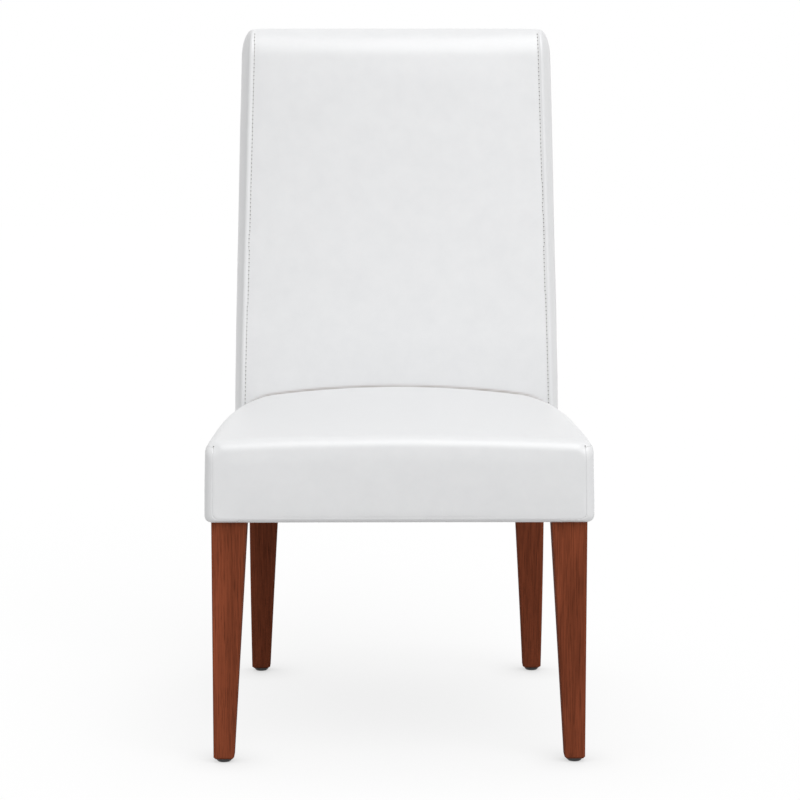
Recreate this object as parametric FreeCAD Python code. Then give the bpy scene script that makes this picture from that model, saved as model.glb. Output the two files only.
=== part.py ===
import FreeCAD, Part
import math
import os
from FreeCAD import Vector

# Upholstered dining chair: a hardwood frame on four tapered legs, webbed, padded and covered.
# Millimetres, +Z up, +X to the right as seen from the front, +Y towards the back of the chair.
# Pieces are laid out from the floor and the front of the seat, then moved together so that the
# origin is on the floor in the middle of the chair's box.

# Seat outline and crown
OVERALL_HEIGHT = 1000.0
SEAT_FRONT_WIDTH = 525.0
SEAT_REAR_WIDTH = 490.0
SEAT_DEPTH = 455.0
SEAT_UNDERSIDE = 333.0
SEAT_FRONT_HEIGHT = 451.0
SEAT_PEAK_HEIGHT = 466.0
SEAT_PEAK_DEPTH = 300.0
SHOULDER_FRONT_RADIUS = 17.0
SHOULDER_REAR_RADIUS = 34.0
SHOULDER_TOP_ANGLE = 5.0
CROWN_FRONT_ANGLE = 3.0
CROWN_REAR_ANGLE = 7.4
SEAT_SPANS = 3
SHOULDER_SPANS = 5
FRONT_EDGE_RADIUS = 16.0
HEM_RADIUS = 6.0
SEAM_FROM_CORNER = 12.0
SIDE_SEAM_FRONT_HEIGHT = 437.0
SIDE_SEAM_REAR_HEIGHT = 423.0

# Back outline, lean and rounding
BACK_DEPTH = 76.0
BACK_FACE_WIDTH = 483.0
BACK_FACE_TOP_WIDTH = 450.0
BACK_FLARE = 11.5
BACK_CROWN = 9.0
LEAN_START = 420.0
LEAN_RADIUS = 700.0
BEND_SPANS = 2
FRONT_LEAN = 10.2
REAR_LEAN = 9.4
RIDGE_WIDTH = 8.0
RIDGE_DEPTH = 6.0
STITCH_DEPTH = 1.5
SIDE_BULGE = 1.0
REAR_BULGE = 2.5
REAR_CORNER = 14.0
TOP_ROUND_HEIGHT = 40.0
TOP_ROUND_FRONT = 22.0
TOP_ROUND_REAR = 36.0
TOP_ROUND_SIDE = 9.5
SIDE_SEAM_SETBACK = 0.8

# Layers of the upholstery, from the outside in
COVER = 1.2
FOAM_WRAP = 7.2
LAYER_GAP = 0.3
BACK_FOAM = 17.0
BACKING_BOARD = 3.0
COVER_TURN_IN = 38.0
DUST_COVER = 0.8
DUST_COVER_MARGIN = 15.0
LEG_NOTCH_GAP = 0.5

# Wooden frame
LEG_TOP = 48.0
LEG_FOOT = 28.0
LEG_EDGE_RADIUS = 3.0
FOOT_CHAMFER = 2.6
REAR_FOOT_KICK = 40.0
REAR_LEG_SPANS = 3
POST_SETBACK = 5.5
POST_TOP_WIDTH = 36.0
POST_TOP_DROP = 4.0
RAIL_HEIGHT = 62.0
RAIL_THICKNESS = 22.0
BACK_RAIL_HEIGHT = 45.0
BACK_RAIL_THICKNESS = 20.0
BACK_RAIL_FORWARD = 3.0
LOWER_RAIL_RISE = 70.0
BLOCK_THICKNESS = 25.0
BLOCK_HEIGHT = 46.0
REAR_BLOCK_REACH = 70.0

# Tenons and bolts
TENON_LENGTH = 20.0
TENON_THICKNESS = 9.0
TENON_SHOULDER = 8.0
JOINT_GAP = 0.1
BOLT_DIAMETER = 8.0
BOLT_IN_LEG = 24.0
BOLT_PROUD = 11.0
WASHER_DIAMETER = 20.0
WASHER_THICKNESS = 1.6
NUT_WIDTH = 13.0
NUT_HEIGHT = 6.5

# Webbing
STRAP_WIDTH = 50.0
STRAP_THICKNESS = 1.6
STRAP_GAP = 0.2
STRAP_RAMP = 8.0
STRAP_ON_RAIL = 16.0
SEAT_STRAPS = 4
SEAT_STRAP_PITCH = 88.0
BACK_STRAPS = 5
BACK_STRAP_MARGIN = 20.0

# Glides
GLIDE_DIAMETER = 21.0
GLIDE_HEIGHT = 5.0
GLIDE_EDGE = 2.0
NAIL_DIAMETER = 3.0
NAIL_RISE = 2.0
NAIL_LENGTH = 22.0

# Heights and insets that the sizes above give
FRAME_INSET = COVER + LAYER_GAP + FOAM_WRAP + LAYER_GAP
COVER_INSIDE = SEAT_UNDERSIDE + COVER
RAIL_BOTTOM = COVER_INSIDE + LAYER_GAP
RAIL_TOP = RAIL_BOTTOM + RAIL_HEIGHT
RAIL_MIDDLE = (RAIL_BOTTOM + RAIL_TOP) / 2
FOAM_BOTTOM = RAIL_TOP + STRAP_THICKNESS + STRAP_GAP
BACK_EDGE = SEAT_DEPTH + BACK_DEPTH
SEAT_END = SEAT_DEPTH + RIDGE_DEPTH - LAYER_GAP
SEAT_REACH = SEAT_DEPTH + BACK_DEPTH / 2
POST_FRONT = SEAT_DEPTH + FRAME_INSET + BACK_FOAM + STRAP_THICKNESS + STRAP_GAP
POST_REAR = BACK_EDGE - FRAME_INSET - BACKING_BOARD
BACK_RAIL_MIDDLE = (POST_FRONT + POST_REAR) / 2 - BACK_RAIL_FORWARD
POST_TOP = OVERALL_HEIGHT - TOP_ROUND_HEIGHT - POST_TOP_DROP
ROUND_START = OVERALL_HEIGHT - TOP_ROUND_HEIGHT
LEG_OUTER = SEAT_FRONT_WIDTH / 2 - FRAME_INSET
LEG_INNER = LEG_OUTER - LEG_TOP
LEG_FRONT = FRAME_INSET
LEG_BACK = LEG_FRONT + LEG_TOP
POST_OUTER = BACK_FACE_WIDTH / 2 - FRAME_INSET - POST_SETBACK
POST_INNER = POST_OUTER - LEG_TOP
REAR_FOOT_BACK = POST_REAR + REAR_FOOT_KICK
FAR = OVERALL_HEIGHT
ALONG_X = Vector(1, 0, 0)
ALONG_Y = Vector(0, 1, 0)


# Small helpers
def line(start, end):
    return Part.LineSegment(start, end).toShape()


def arc(start, middle, end):
    return Part.Arc(start, middle, end).toShape()


def between(start, end, share):
    return start + (end - start) * share


def box(x0, x1, y0, y1, z0, z1):
    return Part.makeBox(x1 - x0, y1 - y0, z1 - z0, Vector(x0, y0, z0))


def rod(diameter, start, direction, length):
    return Part.makeCylinder(diameter / 2, length, start, direction)


def prism(points, direction):
    return Part.Face(Part.makePolygon(points + points[:1])).extrude(direction)


def mirrored(shape):
    return shape.mirror(Vector(0, 0, 0), ALONG_X)


def both_sides(shape):
    return [mirrored(shape), shape]


# Lines that the soft forms and the frame share
def seat_half_width(depth):
    return between(SEAT_FRONT_WIDTH, SEAT_REAR_WIDTH, depth / SEAT_DEPTH) / 2


def seat_crest(depth):
    reach = (depth - SEAT_PEAK_DEPTH) / (SEAT_PEAK_DEPTH - FRONT_EDGE_RADIUS)
    return SEAT_PEAK_HEIGHT - (SEAT_PEAK_HEIGHT - SEAT_FRONT_HEIGHT) * reach**2


def side_rail_outer(depth):
    front_end = seat_half_width(LEG_BACK) - FRAME_INSET
    return between(front_end, post_outer(RAIL_TOP), (depth - LEG_BACK) / (POST_FRONT - LEG_BACK))


def lean(height, angle):
    turn = math.radians(angle)
    rise = max(height - LEAN_START, 0.0)
    bend = min(rise, LEAN_RADIUS * math.sin(turn))
    return LEAN_RADIUS - math.sqrt(LEAN_RADIUS**2 - bend**2) + (rise - bend) * math.tan(turn)


def bend_top(angle):
    return LEAN_START + LEAN_RADIUS * math.sin(math.radians(angle))


def crown_share(height):
    share = (height - LEAN_START) / (bend_top(FRONT_LEAN) - LEAN_START)
    return (1 - math.cos(math.pi * min(max(share, 0.0), 1.0))) / 2


def back_half_width(height):
    share = (height - SEAT_UNDERSIDE) / (OVERALL_HEIGHT - SEAT_UNDERSIDE)
    return between(BACK_FACE_WIDTH, BACK_FACE_TOP_WIDTH, share) / 2


def post_outer(height):
    top_outer = back_half_width(POST_TOP) - FRAME_INSET
    return between(POST_OUTER, top_outer, (height - SEAT_UNDERSIDE) / (POST_TOP - SEAT_UNDERSIDE))


def post_inner(height):
    top_inner = post_outer(POST_TOP) - POST_TOP_WIDTH
    return between(POST_INNER, top_inner, (height - RAIL_TOP) / (POST_TOP - RAIL_TOP))


# The crowned seat: sections across the seat, from the rounded front edge to the back
def seat_section(depth, edge_depth, inset, edge_inset, bottom, hem):
    share = edge_depth / SEAT_DEPTH
    half = seat_half_width(edge_depth) - edge_inset
    shoulder = between(SHOULDER_FRONT_RADIUS, SHOULDER_REAR_RADIUS, share) - inset
    crown_angle = between(CROWN_FRONT_ANGLE, CROWN_REAR_ANGLE, share)
    centre = half - shoulder
    crest = seat_crest(edge_depth) - edge_inset
    side_top = crest - shoulder - centre * math.tan(math.radians(crown_angle / 2))
    right = [Vector(half - hem, depth, bottom), Vector(half, depth, bottom + hem)]
    for step in range(SHOULDER_SPANS + 1):
        turn = math.radians(between(90.0, SHOULDER_TOP_ANGLE, step / SHOULDER_SPANS))
        across = centre + shoulder * math.sin(turn)
        right.append(Vector(across, depth, side_top + shoulder * math.cos(turn)))
    left = [Vector(-point.x, point.y, point.z) for point in reversed(right)]
    edges = [line(start, end) for start, end in zip(right, right[1:])]
    edges.append(arc(right[-1], Vector(0, depth, crest), left[0]))
    edges += [line(start, end) for start, end in zip(left, left[1:])]
    edges.append(line(left[-1], right[0]))
    return Part.Wire(edges)


def seat_form(inset, bottom):
    radius = FRONT_EDGE_RADIUS - inset
    hem = max(HEM_RADIUS - inset, COVER)
    sections = []
    for angle in (90, 60, 30):
        turn = math.radians(angle)
        depth = FRONT_EDGE_RADIUS - radius * math.sin(turn)
        edge_inset = FRONT_EDGE_RADIUS - radius * math.cos(turn)
        from_hem = min(max(hem - (depth - inset), 0.0), hem)
        rise = hem - math.sqrt(hem**2 - from_hem**2)
        sections.append(seat_section(depth, FRONT_EDGE_RADIUS, inset, edge_inset, bottom + rise, hem))
    for step in range(SEAT_SPANS + 1):
        depth = between(FRONT_EDGE_RADIUS, SEAT_REACH, step / SEAT_SPANS)
        sections.append(seat_section(depth, depth, inset, inset, bottom, hem))
    return Part.makeLoft(sections, True, True)


# The leaning back: level sections, from the underside of the seat to the rounded top
class BackLevel:
    def __init__(self, height, inset, top_turn=0.0, hem_inset=0.0):
        fall = math.cos(top_turn)
        self.height = height
        self.front = SEAT_DEPTH + lean(height, FRONT_LEAN)
        self.front += TOP_ROUND_FRONT - (TOP_ROUND_FRONT - inset) * fall
        self.rear = BACK_EDGE + lean(height, REAR_LEAN) - hem_inset
        self.rear -= TOP_ROUND_REAR - (TOP_ROUND_REAR - inset) * fall
        self.face = back_half_width(height) - hem_inset
        self.face -= TOP_ROUND_SIDE - (TOP_ROUND_SIDE - inset) * fall
        self.flare = self.face + BACK_FLARE * fall
        self.ridge = min(RIDGE_DEPTH, 0.4 * (self.rear - self.front))
        self.corner = min(REAR_CORNER - inset, 0.4 * (self.rear - self.front))
        self.stitch = self.front + STITCH_DEPTH
        self.crown = max(BACK_CROWN * crown_share(height), STITCH_DEPTH) * max(fall, 0.3)
        self.crown *= 2 * self.face / BACK_FACE_WIDTH

    def point(self, across, depth):
        return Vector(across, depth, self.height)

    def wire(self, front_edge, side_middle):
        bend = self.corner * (1 - math.sqrt(0.5))
        right = front_edge + [
            self.point(self.flare, self.rear - self.corner),
            self.point(self.flare - bend, self.rear - bend),
            self.point(self.flare - self.corner, self.rear),
        ]
        left = [self.point(-point.x, point.y) for point in right]
        right_side = line(right[2], right[3])
        left_side = line(left[3], left[2])
        if side_middle:
            right_side = arc(right[2], side_middle, right[3])
            left_side = arc(left[3], self.point(-side_middle.x, side_middle.y), left[2])
        return Part.Wire(
            [
                arc(left[0], self.point(0, self.stitch - self.crown), right[0]),
                arc(right[0], right[1], right[2]),
                right_side,
                arc(right[3], right[4], right[5]),
                arc(right[5], self.point(0, self.rear + REAR_BULGE), left[5]),
                arc(left[5], left[4], left[3]),
                left_side,
                arc(left[2], left[1], left[0]),
            ]
        )

    # The outside has a stitched ridge along each front edge
    def outside(self):
        front_edge = [
            self.point(self.face - RIDGE_WIDTH, self.stitch),
            self.point(self.face - 0.35 * RIDGE_WIDTH, self.front + 0.15 * self.ridge),
            self.point(self.face, self.front + self.ridge),
        ]
        side_depth = (self.front + self.ridge + self.rear - self.corner) / 2
        return self.wire(front_edge, self.point((self.face + self.flare) / 2 + SIDE_BULGE, side_depth))

    # The inside runs plainly behind the ridge
    def inside(self):
        bend = self.ridge * (1 - math.sqrt(0.5))
        front_edge = [
            self.point(self.face - self.ridge, self.stitch),
            self.point(self.face - bend, self.stitch + bend),
            self.point(self.face, self.stitch + self.ridge),
        ]
        return self.wire(front_edge, None)


def back_levels(inset, bottom):
    hem = max(HEM_RADIUS - inset, COVER)
    levels = []
    for angle in (90, 45):
        turn = math.radians(angle)
        height = bottom + hem * (1 - math.sin(turn))
        levels.append(BackLevel(height, inset, 0.0, hem * (1 - math.cos(turn))))
    bend_end = bend_top(FRONT_LEAN)
    levels.append(BackLevel(bottom + hem, inset))
    for step in range(BEND_SPANS + 1):
        levels.append(BackLevel(between(LEAN_START, bend_end, step / BEND_SPANS), inset))
    for angle in (0, 30, 60, 90):
        turn = math.radians(angle)
        height = ROUND_START + (TOP_ROUND_HEIGHT - inset) * math.sin(turn)
        levels.append(BackLevel(height, inset, turn))
    return levels


def back_outside(inset, bottom):
    return Part.makeLoft([level.outside() for level in back_levels(inset, bottom)], True, True)


def back_inside(inset, bottom):
    return Part.makeLoft([level.inside() for level in back_levels(inset, bottom)], True, True)


# A slab that follows the lean of the back between two depths
def leaning_edge(depth, angle, bottom, top):
    bend = bend_top(angle)
    heights = [bottom, LEAN_START, (LEAN_START + bend) / 2, bend, top]
    points = [Vector(0, depth + lean(height, angle), height) for height in heights]
    return [line(points[0], points[1]), arc(points[1], points[2], points[3]), line(points[3], points[4])]


def leaning_slab(front, rear, bottom, top, half_width):
    edges = leaning_edge(front, FRONT_LEAN, bottom, top) + leaning_edge(rear, REAR_LEAN, bottom, top)
    for height in (bottom, top):
        start = Vector(0, front + lean(height, FRONT_LEAN), height)
        end = Vector(0, rear + lean(height, REAR_LEAN), height)
        edges.append(line(start, end))
    outline = Part.Wire(Part.__sortEdges__(edges))
    outline.translate(Vector(-half_width, 0, 0))
    return Part.Face(outline).extrude(ALONG_X * (2 * half_width))


# A board or strap across the back, square to its lean
def leaning_board(front, rear, bottom, top, half_width):
    points = []
    for depth, height in ((front, bottom), (rear, bottom), (rear, top), (front, top)):
        points.append(Vector(-half_width, depth + lean(height, FRONT_LEAN), height))
    return prism(points, ALONG_X * (2 * half_width))


# Legs and posts
def rounded_square(x0, x1, y0, y1, height):
    radius = LEG_EDGE_RADIUS
    bend = radius * (1 - math.sqrt(0.5))
    corners = [(x1, y0, -1, 1), (x1, y1, -1, -1), (x0, y1, 1, -1), (x0, y0, 1, 1)]
    ends = []
    for number, (x, y, inward_x, inward_y) in enumerate(corners):
        on_x_side = Vector(x + radius * inward_x, y, height)
        on_y_side = Vector(x, y + radius * inward_y, height)
        middle = Vector(x + bend * inward_x, y + bend * inward_y, height)
        first, last = (on_x_side, on_y_side) if number % 2 == 0 else (on_y_side, on_x_side)
        ends.append((first, middle, last))
    edges = []
    for number, (first, middle, last) in enumerate(ends):
        edges.append(arc(first, middle, last))
        edges.append(line(last, ends[(number + 1) % 4][0]))
    return Part.Wire(edges)


def leg_width(height):
    share = (height - GLIDE_HEIGHT) / (SEAT_UNDERSIDE - GLIDE_HEIGHT)
    return between(LEG_FOOT, LEG_TOP, min(share, 1.0))


def front_leg():
    front_view = [
        Vector(LEG_OUTER - LEG_FOOT, 0, GLIDE_HEIGHT),
        Vector(LEG_OUTER, 0, GLIDE_HEIGHT),
        Vector(LEG_OUTER, 0, SEAT_UNDERSIDE),
        Vector(LEG_INNER, 0, SEAT_UNDERSIDE),
    ]
    side_view = [
        Vector(0, LEG_FRONT + LEG_FOOT, GLIDE_HEIGHT),
        Vector(0, LEG_FRONT, GLIDE_HEIGHT),
        Vector(0, LEG_FRONT, SEAT_UNDERSIDE),
        Vector(0, LEG_BACK, SEAT_UNDERSIDE),
    ]
    leg = prism(front_view, ALONG_Y * FAR).common(prism(side_view, ALONG_X * FAR))
    upright = [edge for edge in leg.Edges if edge.BoundBox.ZLength > LEG_TOP]
    leg = leg.makeFillet(LEG_EDGE_RADIUS, upright)
    sole = [edge for edge in leg.Edges if edge.BoundBox.ZMax < GLIDE_HEIGHT + LEG_EDGE_RADIUS]
    leg = leg.makeChamfer(FOOT_CHAMFER, sole)
    return leg.fuse(box(LEG_INNER, LEG_OUTER, LEG_FRONT, LEG_BACK, SEAT_UNDERSIDE, RAIL_TOP))


def sabre(height, kick):
    length = SEAT_UNDERSIDE - GLIDE_HEIGHT
    radius = (kick**2 + length**2) / (2 * kick)
    return radius - math.sqrt(radius**2 - (SEAT_UNDERSIDE - height) ** 2)


def rear_leg_section(height, trim):
    front_kick = REAR_FOOT_KICK + POST_REAR - POST_FRONT - LEG_FOOT
    x0 = POST_OUTER - leg_width(height) + trim
    y0 = POST_FRONT + sabre(height, front_kick) + trim
    y1 = POST_REAR + sabre(height, REAR_FOOT_KICK) - trim
    return rounded_square(x0, POST_OUTER - trim, y0, y1, height)


def rear_post():
    foot = GLIDE_HEIGHT + FOOT_CHAMFER
    sections = [rear_leg_section(GLIDE_HEIGHT, FOOT_CHAMFER)]
    for step in range(REAR_LEG_SPANS + 1):
        height = between(foot, SEAT_UNDERSIDE, step / REAR_LEG_SPANS)
        sections.append(rear_leg_section(height, 0.0))
    leg = Part.makeLoft(sections, True, True)
    side_view = leaning_slab(POST_FRONT, POST_REAR, SEAT_UNDERSIDE, POST_TOP, FAR)
    front_view = [
        Vector(POST_INNER, 0, SEAT_UNDERSIDE),
        Vector(POST_OUTER, 0, SEAT_UNDERSIDE),
        Vector(post_outer(POST_TOP), 0, POST_TOP),
        Vector(post_inner(POST_TOP), 0, POST_TOP),
        Vector(POST_INNER, 0, RAIL_TOP),
    ]
    post = side_view.common(prism(front_view, ALONG_Y * FAR))
    return post.fuse(leg)


# Seat rails: each end has a tenon, and the leg or post takes it with a small gap
def side_rail():
    points = [
        Vector(side_rail_outer(LEG_BACK), LEG_BACK, RAIL_BOTTOM),
        Vector(side_rail_outer(POST_FRONT), POST_FRONT, RAIL_BOTTOM),
        Vector(side_rail_outer(POST_FRONT) - RAIL_THICKNESS, POST_FRONT, RAIL_BOTTOM),
        Vector(side_rail_outer(LEG_BACK) - RAIL_THICKNESS, LEG_BACK, RAIL_BOTTOM),
    ]
    return prism(points, Vector(0, 0, RAIL_HEIGHT))


def side_rail_tenon(joint, direction, gap):
    middle = side_rail_outer(joint) - RAIL_THICKNESS / 2
    half = TENON_THICKNESS / 2 + gap
    end = joint + direction * (TENON_LENGTH + gap)
    bottom = RAIL_BOTTOM + TENON_SHOULDER - gap
    top = RAIL_TOP - TENON_SHOULDER + gap
    return box(middle - half, middle + half, min(joint, end), max(joint, end), bottom, top)


def cross_rail(half_width, front):
    return box(-half_width, half_width, front, front + RAIL_THICKNESS, RAIL_BOTTOM, RAIL_TOP)


def cross_rail_tenon(joint, front, gap):
    middle = front + RAIL_THICKNESS / 2
    half = TENON_THICKNESS / 2 + gap
    bottom = RAIL_BOTTOM + TENON_SHOULDER - gap
    top = RAIL_TOP - TENON_SHOULDER + gap
    return box(joint, joint + TENON_LENGTH + gap, middle - half, middle + half, bottom, top)


# Back rails: they lean with the posts
def back_rail(bottom, posts):
    half_width = post_inner(bottom + BACK_RAIL_HEIGHT) + TENON_LENGTH / 2
    half = BACK_RAIL_THICKNESS / 2
    top = bottom + BACK_RAIL_HEIGHT
    rail = leaning_board(BACK_RAIL_MIDDLE - half, BACK_RAIL_MIDDLE + half, bottom, top, half_width)
    return rail.cut(posts).fuse(back_rail_tenon(bottom, 0.0))


def back_rail_tenon(bottom, gap):
    half_width = post_inner(bottom + BACK_RAIL_HEIGHT / 2) + TENON_LENGTH + gap
    half = TENON_THICKNESS / 2 + gap
    start = bottom + TENON_SHOULDER - gap
    end = bottom + BACK_RAIL_HEIGHT - TENON_SHOULDER + gap
    return leaning_board(BACK_RAIL_MIDDLE - half, BACK_RAIL_MIDDLE + half, start, end, half_width)


# Corner blocks and the leg bolt, on the right-hand side
def block_prism(points):
    bottom = RAIL_MIDDLE - BLOCK_HEIGHT / 2
    return prism([Vector(x, y, bottom) for x, y in points], Vector(0, 0, BLOCK_HEIGHT))


def leg_bolt():
    into_leg = Vector(1, -1, 0).normalize()
    face = Vector(LEG_INNER, LEG_BACK, RAIL_MIDDLE) - into_leg * BLOCK_THICKNESS
    length = BOLT_PROUD + BLOCK_THICKNESS + BOLT_IN_LEG
    start = face - into_leg * BOLT_PROUD
    bolt = rod(BOLT_DIAMETER, start, into_leg, length)
    hole = rod(BOLT_DIAMETER + 2 * JOINT_GAP, start, into_leg, length)
    washer = rod(WASHER_DIAMETER, face, into_leg * -1, WASHER_THICKNESS).cut(hole)
    corner = NUT_WIDTH / math.sqrt(3)
    corners = []
    for number in range(6):
        turn = math.radians(60 * number)
        corners.append(Vector(corner * math.cos(turn), corner * math.sin(turn), 0))
    nut = prism(corners, Vector(0, 0, NUT_HEIGHT))
    seat = face - into_leg * WASHER_THICKNESS
    nut.Placement = FreeCAD.Placement(seat, FreeCAD.Rotation(Vector(0, 0, 1), into_leg * -1))
    return bolt, washer, nut.cut(hole), hole


# Webbing: straps that dip under every other strap they cross
def strap_edge(start, end, dips, dip_depth):
    points = [(start, 0.0)]
    half = STRAP_WIDTH / 2 + STRAP_GAP
    for centre in dips:
        points.append((centre - half - STRAP_RAMP, 0.0))
        points.append((centre - half, -dip_depth))
        points.append((centre + half, -dip_depth))
        points.append((centre + half + STRAP_RAMP, 0.0))
    points.append((end, 0.0))
    return points


def strap_outline(start, end, dips):
    lower = strap_edge(start, end, dips, STRAP_THICKNESS + STRAP_GAP)
    upper = [(place, height + STRAP_THICKNESS) for place, height in reversed(lower)]
    return [(place, RAIL_TOP + height) for place, height in lower + upper]


def spread(count, pitch):
    return [(number - (count - 1) / 2) * pitch for number in range(count)]


def seat_webbing():
    columns = spread(SEAT_STRAPS, SEAT_STRAP_PITCH)
    middle = (LEG_FRONT + RAIL_THICKNESS + POST_FRONT) / 2
    rows = [middle + place for place in spread(SEAT_STRAPS, SEAT_STRAP_PITCH)]
    lengthwise = []
    for number, column in enumerate(columns):
        dips = [row for place, row in enumerate(rows) if (place + number) % 2 == 0]
        start = LEG_FRONT + RAIL_THICKNESS - STRAP_ON_RAIL
        outline = strap_outline(start, POST_FRONT + STRAP_ON_RAIL, dips)
        points = [Vector(column - STRAP_WIDTH / 2, place, height) for place, height in outline]
        lengthwise.append(prism(points, ALONG_X * STRAP_WIDTH))
    crosswise = []
    for number, row in enumerate(rows):
        dips = [column for place, column in enumerate(columns) if (place + number) % 2 == 1]
        reach = side_rail_outer(row) - RAIL_THICKNESS + STRAP_ON_RAIL
        points = []
        for place, height in strap_outline(-reach, reach, dips):
            points.append(Vector(place, row - STRAP_WIDTH / 2, height))
        crosswise.append(prism(points, ALONG_Y * STRAP_WIDTH))
    return lengthwise, crosswise


def back_webbing():
    lowest = bend_top(FRONT_LEAN) + BACK_STRAP_MARGIN
    highest = POST_TOP - BACK_RAIL_HEIGHT - BACK_STRAP_MARGIN - STRAP_WIDTH
    front = POST_FRONT - STRAP_THICKNESS
    straps = []
    for number in range(BACK_STRAPS):
        bottom = between(lowest, highest, number / (BACK_STRAPS - 1))
        half_width = post_inner(bottom) + STRAP_ON_RAIL
        straps.append(leaning_board(front, POST_FRONT, bottom, bottom + STRAP_WIDTH, half_width))
    return straps


# The board behind the posts
def backing_board():
    half_width = post_outer(POST_TOP)
    edges = leaning_edge(POST_REAR, REAR_LEAN, RAIL_BOTTOM, POST_TOP)
    edges += leaning_edge(POST_REAR + BACKING_BOARD, REAR_LEAN, RAIL_BOTTOM, POST_TOP)
    for height in (RAIL_BOTTOM, POST_TOP):
        start = Vector(0, POST_REAR + lean(height, REAR_LEAN), height)
        edges.append(line(start, start + ALONG_Y * BACKING_BOARD))
    outline = Part.Wire(Part.__sortEdges__(edges))
    outline.translate(ALONG_X * -half_width)
    return Part.Face(outline).extrude(ALONG_X * (2 * half_width))


# Spaces that the covers, the foam and the dust cover leave
def front_leg_space(gap, bottom, top):
    return box(LEG_INNER - gap, LEG_OUTER + gap, LEG_FRONT - gap, LEG_BACK + gap, bottom, top)


def rear_post_space(gap, bottom, top):
    return box(POST_INNER - gap, POST_OUTER + gap, POST_FRONT - gap, POST_REAR + gap, bottom, top)


def below_back_face(depth):
    return box(-FAR, FAR, 0, depth, 0, FOAM_BOTTOM)


def back_space():
    back = back_outside(-LAYER_GAP, SEAT_UNDERSIDE - 2 * HEM_RADIUS)
    return [back, box(-FAR, FAR, SEAT_END, FAR, 0, FAR)]


# Seat cover: one shell, parted at its seams
def seat_side_region():
    ends = (-HEM_RADIUS, SEAT_END + HEM_RADIUS)
    plan = [Vector(seat_half_width(depth) - SEAM_FROM_CORNER, depth, 0) for depth in ends]
    plan += [Vector(FAR, depth, 0) for depth in reversed(ends)]
    side = [Vector(0, depth, 0) for depth in ends]
    side.append(Vector(0, ends[1], SIDE_SEAM_REAR_HEIGHT))
    side.append(Vector(0, ends[0], SIDE_SEAM_FRONT_HEIGHT))
    panel = prism(plan, Vector(0, 0, FAR)).common(prism(side, ALONG_X * FAR))
    turn_in = box(0, FAR, COVER_TURN_IN, FAR, 0, COVER_INSIDE)
    return panel.fuse(turn_in)


def seat_covers(back_cut):
    outer = seat_form(0.0, SEAT_UNDERSIDE)
    inner = seat_form(COVER, COVER_INSIDE)
    opening = [Vector(0, COVER_TURN_IN, 0)]
    for depth in (COVER_TURN_IN, FAR):
        opening.append(Vector(seat_half_width(depth) - COVER_TURN_IN, depth, 0))
    opening.append(Vector(0, FAR, 0))
    cuts = [inner] + back_cut
    cuts += both_sides(prism(opening, Vector(0, 0, COVER_INSIDE)))
    cuts += both_sides(front_leg_space(LEG_NOTCH_GAP, 0, RAIL_TOP))
    shell = outer.cut(cuts)
    regions = both_sides(seat_side_region())
    return shell.cut(regions), [shell.common(region) for region in regions]


# Back cover: one shell, parted at the side seams and behind the top
def back_side_region():
    points = []
    for height in (0.0, OVERALL_HEIGHT + HEM_RADIUS):
        points.append(Vector(back_half_width(height) + SIDE_SEAM_SETBACK, 0, height))
    points.append(Vector(FAR, 0, OVERALL_HEIGHT + HEM_RADIUS))
    points.append(Vector(FAR, 0, 0))
    turn_in = box(BACK_FACE_WIDTH / 2 - COVER_TURN_IN, FAR, 0, BACK_EDGE - COVER_TURN_IN, 0, FOAM_BOTTOM)
    return prism(points, ALONG_Y * FAR).fuse(turn_in)


def back_covers():
    outer = back_outside(0.0, SEAT_UNDERSIDE)
    inner = back_inside(COVER, COVER_INSIDE)
    half_opening = BACK_FACE_WIDTH / 2 - COVER_TURN_IN
    opening = box(-half_opening, half_opening, 0, BACK_EDGE - COVER_TURN_IN, 0, COVER_INSIDE)
    cuts = [inner, opening, below_back_face(SEAT_DEPTH + RIDGE_DEPTH)]
    cuts += both_sides(rear_post_space(LEG_NOTCH_GAP, 0, COVER_INSIDE))
    shell = outer.cut(cuts)
    regions = both_sides(back_side_region())
    middle = shell.cut(regions)
    top = OVERALL_HEIGHT + HEM_RADIUS
    front_region = leaning_slab(SEAT_DEPTH - BACK_DEPTH, BACK_EDGE - TOP_ROUND_REAR, SEAT_UNDERSIDE, top, FAR)
    front_region = front_region.cut(box(-FAR, FAR, 0, FAR, 0, FOAM_BOTTOM))
    sides = [shell.common(region) for region in regions]
    return middle.common(front_region), middle.cut(front_region), sides


# Foam: each pad wraps the frame that it lies on
def seat_foam():
    form = seat_form(COVER + LAYER_GAP, RAIL_BOTTOM)
    frame = []
    for depth in (LEG_FRONT - LAYER_GAP, FAR):
        frame.append(Vector(side_rail_outer(depth) + LAYER_GAP, depth, 0))
    frame += [Vector(-point.x, point.y, 0) for point in reversed(frame)]
    spaces = [prism(frame, Vector(0, 0, FOAM_BOTTOM))]
    spaces += both_sides(front_leg_space(LAYER_GAP, 0, RAIL_TOP + LAYER_GAP))
    spaces.append(box(-FAR, FAR, SEAT_DEPTH - LAYER_GAP, FAR, 0, FAR))
    return form.cut(spaces)


def back_foam():
    form = back_inside(COVER + LAYER_GAP, RAIL_BOTTOM)
    front = POST_FRONT - STRAP_THICKNESS - STRAP_GAP
    rear = POST_REAR + BACKING_BOARD + LAYER_GAP
    top = POST_TOP + LAYER_GAP
    frame = []
    for height in (0.0, top):
        frame.append(Vector(post_outer(height) + LAYER_GAP, 0, height))
    frame += [Vector(-point.x, 0, point.z) for point in reversed(frame)]
    core = leaning_slab(front, rear, 0.0, top, FAR).common(prism(frame, ALONG_Y * FAR))
    return form.cut([core, below_back_face(front)])


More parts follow.
